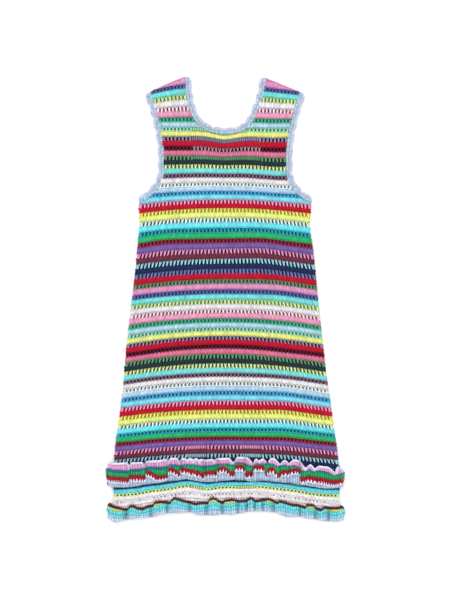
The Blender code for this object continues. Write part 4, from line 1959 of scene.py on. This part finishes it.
    def lobes(self, net: Net) -> list[tuple[float, float]]:
        """The stretches of a row between which one lobe lies over the next.

        Args:
            net: the row's surface.

        Returns:
            Where each stretch starts and ends.
        """
        inner = (np.interp(step, self.across(), net.run) for step in self.steps())
        steps = [net.run[0], *inner, net.run[-1]]
        return [
            (max(start - self.overlap, steps[0]), min(end + self.overlap, steps[-1]))
            for start, end in zip(steps, steps[1:])
        ]

    def steps(self) -> list[float]:
        """Where one lobe lies over the next."""
        return []

    def work_band(
        self, work: StitchWork, band: Band, net: Net, start: float, end: float, base: float
    ) -> None:
        """Works one row between two steps.

        Args:
            work: what the stitches are gathered in.
            band: the row.
            net: its surface.
            start: the first step's place along it.
            end: the second one's.
            base: height of the sheet's outer face over the surface.
        """
        cells = Cells.along_row(start, end, band.pitch, 0.0, 1.0, linear(band.yarn.value), base)
        middle = cells.start + 0.5 * cells.width
        cells.rise = np.maximum(net.depth(middle), self.least_rise)
        if self.is_front:
            # Painted shade beside the creases between lobes
            shade = self.shade(np.interp(middle, net.run, self.across()))
            cells.colour = cells.colour * (1.0 - band.shaded * (1.0 - shade))[:, None]
        flat = [replace_heights(strand, self.back_flatness) for strand in band.stitch]
        stitch = band.stitch if self.is_front else flat
        work.work(stitch, cells.only(cells.rise > self.least_worked), net)


@dataclass
class UpperRuffle(Ruffle):
    """The ruffle above the hem, gathered under its heading."""

    rim: float = 0.0043  # the pale edge of the heading
    rim_inset: float = 0.0013
    navy_left: float = 0.0048  # the blue row is pulled thinner towards the right
    navy_right: float = 0.0028
    navy_above: float = 0.4  # how much of it is above the line that it is gathered on
    navy_in_notch: float = 0.2  # how much of it is left between two lobes
    least_pink: float = 0.0016
    least_green: float = 0.002
    below_red: float = 0.006  # what the rows under the red one have at least
    most_white: float = 0.6  # how much of that the white one takes at most
    red: float = 0.0092
    white: float = 0.0048
    step_width: float = 0.0007

    @classmethod
    def of_layer(cls, layer: str, random: np.random.Generator) -> UpperRuffle:
        """The ruffle in its front or back layer.

        Args:
            layer: "front" or "back".
            random: the source of unevenness.

        Returns:
            The ruffle.
        """
        node = f"upper_ruffle_{layer}"
        tables = (UPPER_FOLDS, UPPER_SECTIONS, UPPER_BANDS, UPPER_BULGE)
        return cls(node + "_yarn", node, *tables, random, layer == "front", slits=UPPER_SLITS)

    def steps(self) -> list[float]:
        """Where the red row has a step."""
        pairs = zip(RED_LINE, RED_LINE[1:])
        return [0.5 * (a.across + b.across) for a, b in pairs if b.across - a.across < self.step_width]

    def lines(self, across: Array) -> list[Array]:
        """The places down of the lines between the rows, for each column.

        Args:
            across: where.

        Returns:
            The lines, from the top edge to the foot.
        """
        crest, valley = self.crest_line(across), self.valley_line(across)
        foot = self.between_folds(across, "foot")
        navy = np.interp(across, (-0.10, -0.02), (self.navy_left, self.navy_right))
        gather = line_down(GATHER_LINE, across) - self.navy_above * navy
        top = valley + (crest - valley) * self.lobe_rise(across)
        navy_top = np.maximum(gather, crest + self.rim + self.least_pink)
        pink_top = navy_top - (navy_top - crest - self.rim) * self.lobe_rise(across, self.rim_inset)
        pink_top = np.maximum(pink_top, top + 0.0004)
        navy_top = np.maximum(navy_top, pink_top + 0.0002)
        rise = self.lobe_rise(across, self.rim_inset)
        green_top = navy_top + navy * (self.navy_in_notch + (1.0 - self.navy_in_notch) * rise)
        red = line_down(RED_LINE, across)
        red_top = np.maximum(red, green_top + self.least_green)
        red_end = np.minimum(red_top + self.red, foot - self.below_red)
        white_end = red_end + np.minimum(self.white, self.most_white * (foot - red_end))
        return [top, pink_top, navy_top, green_top, red_top, red_end, white_end, foot]


@dataclass
class HemRuffle(Ruffle):
    """The ruffle along the hem."""

    brown: float = 0.0047
    yellow: float = 0.0042
    aqua: float = 0.0078
    below_aqua: float = 0.009  # what the two pale rows under it have at least
    deep: float = 0.004  # a valley beside a crest this high is a deep crease
    crease_shade: float = 0.5
    crease_shade_width: float = 0.0040
    has_soft_valleys: bool = True

    @classmethod
    def of_layer(cls, layer: str, random: np.random.Generator) -> HemRuffle:
        """The ruffle in its front or back layer.

        Args:
            layer: "front" or "back".
            random: the source of unevenness.

        Returns:
            The ruffle.
        """
        node = f"hem_ruffle_{layer}"
        tables = (HEM_FOLDS, HEM_SECTIONS, HEM_BANDS, HEM_BULGE)
        return cls(node + "_yarn", node, *tables, random, layer == "front", slits=HEM_SLITS)

    def creases(self) -> list[float]:
        """Where the valleys between high crests are."""
        trios = zip(self.folds, self.folds[1:], self.folds[2:])
        return [b.across for a, b, c in trios if b.height == 0.0 and min(a.height, c.height) >= self.deep]

    def lines(self, across: Array) -> list[Array]:
        """The places down of the lines between the rows, for each column.

        Args:
            across: where.

        Returns:
            The lines, from the top edge to the foot.
        """
        foot = self.between_folds(across, "foot")
        brown = line_down(BROWN_LINE, across)
        top = brown - 0.5 * self.brown
        yellow_top = top + self.brown
        shows = sum(np.clip(1.0 - ((across - s.across) / s.reach) ** 2, 0.0, 1.0) for s in YELLOW_SPOTS)
        aqua_top = yellow_top + 0.0001 + self.yellow * shows
        mist_top = np.minimum(aqua_top + self.aqua, foot - self.below_aqua)
        pale_top = 0.5 * (mist_top + foot) - 0.001
        return [top, yellow_top, aqua_top, mist_top, pale_top, foot]


UPPER_BANDS = (
    Band(Yarn.HEADING, RIM, 0.85),
    Band(Yarn.CANDY, POSTS, 0.75, TIP_PITCH),
    Band(Yarn.DEEP_BLUE, CORD, 0.6),
    Band(Yarn.EMERALD, POSTS, 0.45, TIP_PITCH),
    Band(Yarn.CRIMSON, TIPS, 0.7, TOOTH_PITCH),
    Band(Yarn.SNOW, TEETH, 0.7, TOOTH_PITCH, 0.4),
    Band(Yarn.FROST, FRINGE, 0.5, TIP_PITCH, 0.4),
)
HEM_BANDS = (
    Band(Yarn.BROWN, NICKS, 0.8, TOOTH_PITCH),
    Band(Yarn.YELLOW, CORD, 0.8),
    Band(Yarn.LAGOON, POSTS, 0.6, TIP_PITCH),
    Band(Yarn.MIST, TIPS, 0.6, TIP_PITCH),
    Band(Yarn.ICE, FRINGE, 0.6, TIP_PITCH),
)


class Rim(Enum):
    """The edges of the cloth that the edging goes along."""

    NECK = "neck_edging_{}"
    RIGHT_ARMHOLE = "armhole_edging_{}_right"
    LEFT_ARMHOLE = "armhole_edging_{}_left"

    def points(self) -> list[EdgePoint]:
        """The cloth's edge there, with the hole on its left as seen from above."""
        if self is Rim.NECK:
            return smooth_curve(NECK_EDGE, OUTLINE_STEP)
        return armhole_line(on_left=self is Rim.LEFT_ARMHOLE)


@dataclass
class Edging:
    """The scalloped pale edging along the neck or an armhole, in its front or back layer."""

    name: str
    node: str
    rim: Rim
    random: np.random.Generator
    is_front: bool
    width: float = 0.0123
    scallop_depth: float = 0.003
    scallop_pitch: float = 0.026
    step: float = 0.0026
    thickness: float = 0.0009
    inner_share: float = 0.52  # how much of the width the inner row takes
    pitch: float = 0.0036
    end_round: float = 0.006  # over how much of its length each end narrows
    end_share: float = 0.45  # how wide its ends are, for its middle
    under: float = 0.0012  # how far it laps over the cloth
    loop_room: float = 0.0006  # left outside for the loops along its edge
    strand_tint: float = 0.11
    ground: float = 0.85  # how light its sheet is drawn, for its yarn: painted shade under the stitches
    back_flatness: float = 0.35  # how high the stitches stand that the dress lies on

    def net_lines(self) -> tuple[Array, list[Array]]:
        """The run along the edge, and the points of the cloth's edge, the middle line and the outer edge.

        Returns:
            The run, and the three lines' points.
        """
        edge = np.array(self.rim.points())
        run = np.concatenate([[0.0], np.cumsum(np.linalg.norm(np.diff(edge, axis=0), axis=1))])
        at = np.linspace(0.0, run[-1], round(run[-1] / self.step) + 1)
        edge = np.stack([np.interp(at, run, edge[:, i]) for i in (0, 1)], 1)
        ahead = np.gradient(edge, axis=0)
        ahead /= np.linalg.norm(ahead, axis=1, keepdims=True)
        out = np.stack([ahead[:, 1], -ahead[:, 0]], 1)
        scallops = round(run[-1] / self.scallop_pitch)
        notch = 1.0 - np.abs(np.sin(np.pi * scallops * at / at[-1]))
        near_end = np.clip(np.minimum(at, at[-1] - at) / self.end_round, 0.0, 1.0)
        narrowed = self.end_share + (1.0 - self.end_share) * np.sqrt(1.0 - (1.0 - near_end) ** 2)
        whole = (narrowed * (self.width - self.scallop_depth * notch))[:, None]
        base = FRONT_BASE if self.is_front else 0.0
        lines = []
        for reach in (-self.under, self.inner_share * whole, whole - self.loop_room):
            place = edge + out * reach
            points = np.stack([place[:, 0], LENGTH / 2.0 - place[:, 1], np.full(len(place), base)], 1)
            lines.append(points)
        return at, lines

    def nets(self) -> list[Net]:
        """The surface that each of its two rows lies on."""
        at, lines = self.net_lines()
        out = np.tile(np.array([0.0, 0.0, 1.0 if self.is_front else -1.0]), (len(at), 1))
        return [Net(at, lines[i], lines[i + 1], out, out) for i in (0, 1)]

    def sheet_piece(self, material: Material) -> Object:
        """Makes the edging's sheet.

        Args:
            material: the yarn of its ground.

        Returns:
            The sheet's object.
        """
        _, lines = self.net_lines()
        low = 0.0002 if self.is_front else CLOTH - 0.0001 - self.thickness
        mesh = cloth_on_lines(self.name + "_cloth", lines, low, self.thickness)
        # Painted shade: the sheet under the stitches is drawn darker than the yarn
        colour = linear(Yarn.EDGE_GREY.value) * self.ground
        paint_corners(mesh, np.tile(colour, (len(mesh.loops), 1)))
        mesh.materials.append(material)
        return link(self.name + "_cloth", mesh)

    def stitch_piece(self, material: Material) -> Object:
        """Works the inner row of posts, the outer row, and the loops along its edge.

        Args:
            material: their yarn.

        Returns:
            The stitches' object.
        """
        work = StitchWork(self.name + "_rows", self.random, strand_tint=self.strand_tint)
        base = 0.0009 if self.is_front else -(CLOTH - 0.0001 - self.thickness)
        flat = 1.0 if self.is_front else self.back_flatness
        inner_net, outer_net = self.nets()
        colours = (linear(Yarn.EDGE_GREY.value), linear(Yarn.EDGE.value), linear(Yarn.EDGE.value))
        for net, stitch, colour in zip((inner_net, outer_net, outer_net), EDGING_ROWS, colours):
            cells = Cells.along_row(0.0, float(net.run[-1]), self.pitch, 0.0, 1.0, colour, base)
            cells.rise = net.depth(cells.start + 0.5 * cells.width)
            thin = [replace_heights(strand, flat) for strand in stitch]
            work.work(thin, cells, net)
        return work.make(material)


def replace_heights(strand: Strand, share: float) -> Strand:
    """The same strand, lying flatter."""
    joints = [Joint(j.along, j.down, j.height * share) for j in (strand.start, strand.bend, strand.end)]
    return Strand(*joints, strand.width, strand.flatness * share, strand.rings, strand.shade, strand.wraps)


# The last value of a strand is its painted lightness: painted highlights and painted shade
EDGING_ROWS = (
    strands(
        ((30, -15, 8), (36, 50, 18), (28, 110, 8), 29, 0.65, 2, 1.0),
        ((78, -5, 6), (72, 50, 14), (80, 100, 6), 26, 0.65, 2, 0.86),
        ((-5, 100, 12), (50, 90, 24), (105, 100, 12), 22, 0.7, 2, 1.08),
    ),
    strands(
        ((45, -10, 10), (40, 45, 22), (55, 98, 8), 32, 0.65, 2, 1.0),
        ((0, 10, 6), (4, 50, 14), (0, 96, 6), 26, 0.65, 2, 0.9),
        ((5, 40, 12), (50, 20, 24), (95, 10, 12), 20, 0.7, 2, 1.08),
    ),
    strands(
        ((-15, 92, 6), (50, 114, 18), (110, 86, 6), 30, 0.8, 2, 1.05),
    ),
)


@dataclass
class SideSeam:
    """The loops that join the front to the back along the sides and shoulders."""

    name: str
    outline: Outline
    random: np.random.Generator
    reach: float = 0.0016
    least_across: float = 0.165
    least_down: float = 0.24

    def piece(self, material: Material) -> Object:
        """Works the loops, each in the yarn of its row.

        Args:
            material: their yarn.

        Returns:
            The loops' object.
        """
        work = StitchWork(self.name, self.random)
        for row in panel_rows():
            for start, end in self.outline.stretches(row.top, row.bottom)[:1] + self.side_stretch(row):
                for place, way in ((start, -1.0), (end, 1.0)):
                    if not self.is_side(place, row):
                        continue
                    spot = (place, way * self.reach, row.top, row.bottom - row.top)
                    colour = linear(row.stripe.yarn.value)[None]
                    cells = Cells(*(np.array([v]) for v in spot), colour, np.zeros(1), 0.0, np.ones(1))
                    work.work(SEAM_LOOPS, cells, LIE)
        return work.make(material)

    def side_stretch(self, row: Row) -> list[tuple[float, float]]:
        """The last stretch of a row, where it isn't the first too."""
        found = self.outline.stretches(row.top, row.bottom)
        return found[-1:] if len(found) > 1 else []

    def is_side(self, place: float, row: Row) -> bool:
        """Whether a row's end is at a side of the dress, and not at the neck or an armhole."""
        return abs(place) > self.least_across and row.top > self.least_down


SEAM_LOOPS = strands(
    ((-120, 25, 50), (200, 28, 30), (-120, 30, 13), 48, 0.5, 3, 1.0, True),
    ((-120, 72, 50), (200, 75, 30), (-120, 78, 13), 48, 0.5, 3, 0.94, True),
)


@dataclass(frozen=True)
class Studio:
    """A pale floor, soft light from above and a camera that looks straight down."""

    lens: float = 85.0
    sensor: float = 36.0
    view_height: float = 1.2  # metres of floor from the top to the bottom of the picture
    centre_x: float = 0.0005
    centre_y: float = -0.0025
    dress_height: float = 0.005  # what the view height is measured at
    floor_size: float = 6.0
    floor_grey: float = 0.93  # white paper, just short of pure white
    floor_roughness: float = 0.9

    def build(self) -> None:
        """Makes the camera, the lights and the floor."""
        data = bpy.data.cameras.new("camera")
        data.lens, data.sensor_width = self.lens, self.sensor
        camera = bpy.data.objects.new("camera", data)
        away = self.view_height * self.lens / self.sensor
        camera.location = (self.centre_x, self.centre_y, away + self.dress_height)
        bpy.context.scene.collection.objects.link(camera)
        bpy.context.scene.camera = camera
        self.light("key", (-1.1, 1.3, 2.4), 1.6, 32.0)
        self.light("fill", (1.5, -0.9, 2.2), 2.2, 17.0)
        self.world(1.0)
        self.floor()
        bpy.context.scene.view_settings.view_transform = "Standard"

    def light(self, name: str, place: Sequence[float], size: float, power: float) -> None:
        """Makes a soft lamp that faces the dress.

        Args:
            name: what it is called.
            place: where it hangs.
            size: how wide it is.
            power: its watts.
        """
        data = bpy.data.lights.new(name, "AREA")
        data.shape, data.size, data.energy = "DISK", size, power
        lamp = bpy.data.objects.new(name, data)
        lamp.location = place
        lamp.rotation_euler = (-Vector(place)).to_track_quat("-Z", "Y").to_euler()
        bpy.context.scene.collection.objects.link(lamp)

    def world(self, strength: float) -> None:
        """Makes the even white light all round.

        Args:
            strength: how bright it is.
        """
        world = bpy.data.worlds.new("studio")
        world.use_nodes = True
        white = {"Color": (1.0, 1.0, 1.0, 1.0), "Strength": strength}
        feed(world.node_tree.nodes["Background"], white)
        bpy.context.scene.world = world

    def floor(self) -> None:
        """Makes the floor."""
        sheet = bmesh.new()
        bmesh.ops.create_grid(sheet, x_segments=1, y_segments=1, size=0.5 * self.floor_size)
        mesh = bpy.data.meshes.new("floor")
        sheet.to_mesh(mesh)
        sheet.free()
        paint = bpy.data.materials.new("white_studio_paper")
        paint.use_nodes = True
        finish = {"Base Color": (*[self.floor_grey] * 3, 1.0), "Roughness": self.floor_roughness}
        feed(paint.node_tree.nodes["Principled BSDF"], finish)
        mesh.materials.append(paint)
        link("floor", mesh)


def main() -> None:
    """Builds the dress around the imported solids."""
    logging.basicConfig(level=logging.INFO, format="%(message)s")
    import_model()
    Studio().build()
    random = np.random.default_rng(SEED)
    yarn = CottonYarn("cotton_crochet_yarn").make()
    ground = CottonYarn("cotton_crochet_ground", on_strands=False).make()
    outline = Outline.of_panel()
    front = Panel("front", "front_panel", outline, random, is_front=True)
    back = Panel("back", "back_panel", outline, random, is_front=False, gap_share=0.6, shift=0.5)
    for panel in (back, front):
        cloth = dress_piece(panel.sheet_piece(ground), "body_yarn", panel.node)
        rows = [dress_piece(piece, "body_yarn") for piece in panel.stitch_pieces(yarn)]
        flat = (float(outline.across.max() - outline.across.min()), LENGTH)
        outline.area()
    dress_piece(SideSeam("side_seams", outline, random).piece(yarn), "body_yarn")
    for rim in Rim:
        for layer in ("back", "front"):
            node = rim.value.format(layer)
            edging = Edging(node + "_yarn", node, rim, random, layer == "front")
            cloth = dress_piece(edging.sheet_piece(ground), "edging_yarn", node)
            rows = dress_piece(edging.stitch_piece(yarn), "edging_yarn")
            flat = (float(edging.net_lines()[0][-1]), edging.width)
    for layer in ("back", "front"):
        upper = UpperRuffle.of_layer(layer, random)
        hem = HemRuffle.of_layer(layer, random)
        for ruffle in (upper, hem):
            cloth = dress_piece(ruffle.sheet_piece(ground), "ruffle_yarn", ruffle.node)
            rows = dress_piece(ruffle.stitch_piece(yarn), "ruffle_yarn")
            flat = (ruffle.length(), float(np.mean([f.foot - f.top for f in ruffle.folds])))


if __name__ == "__main__":
    main()
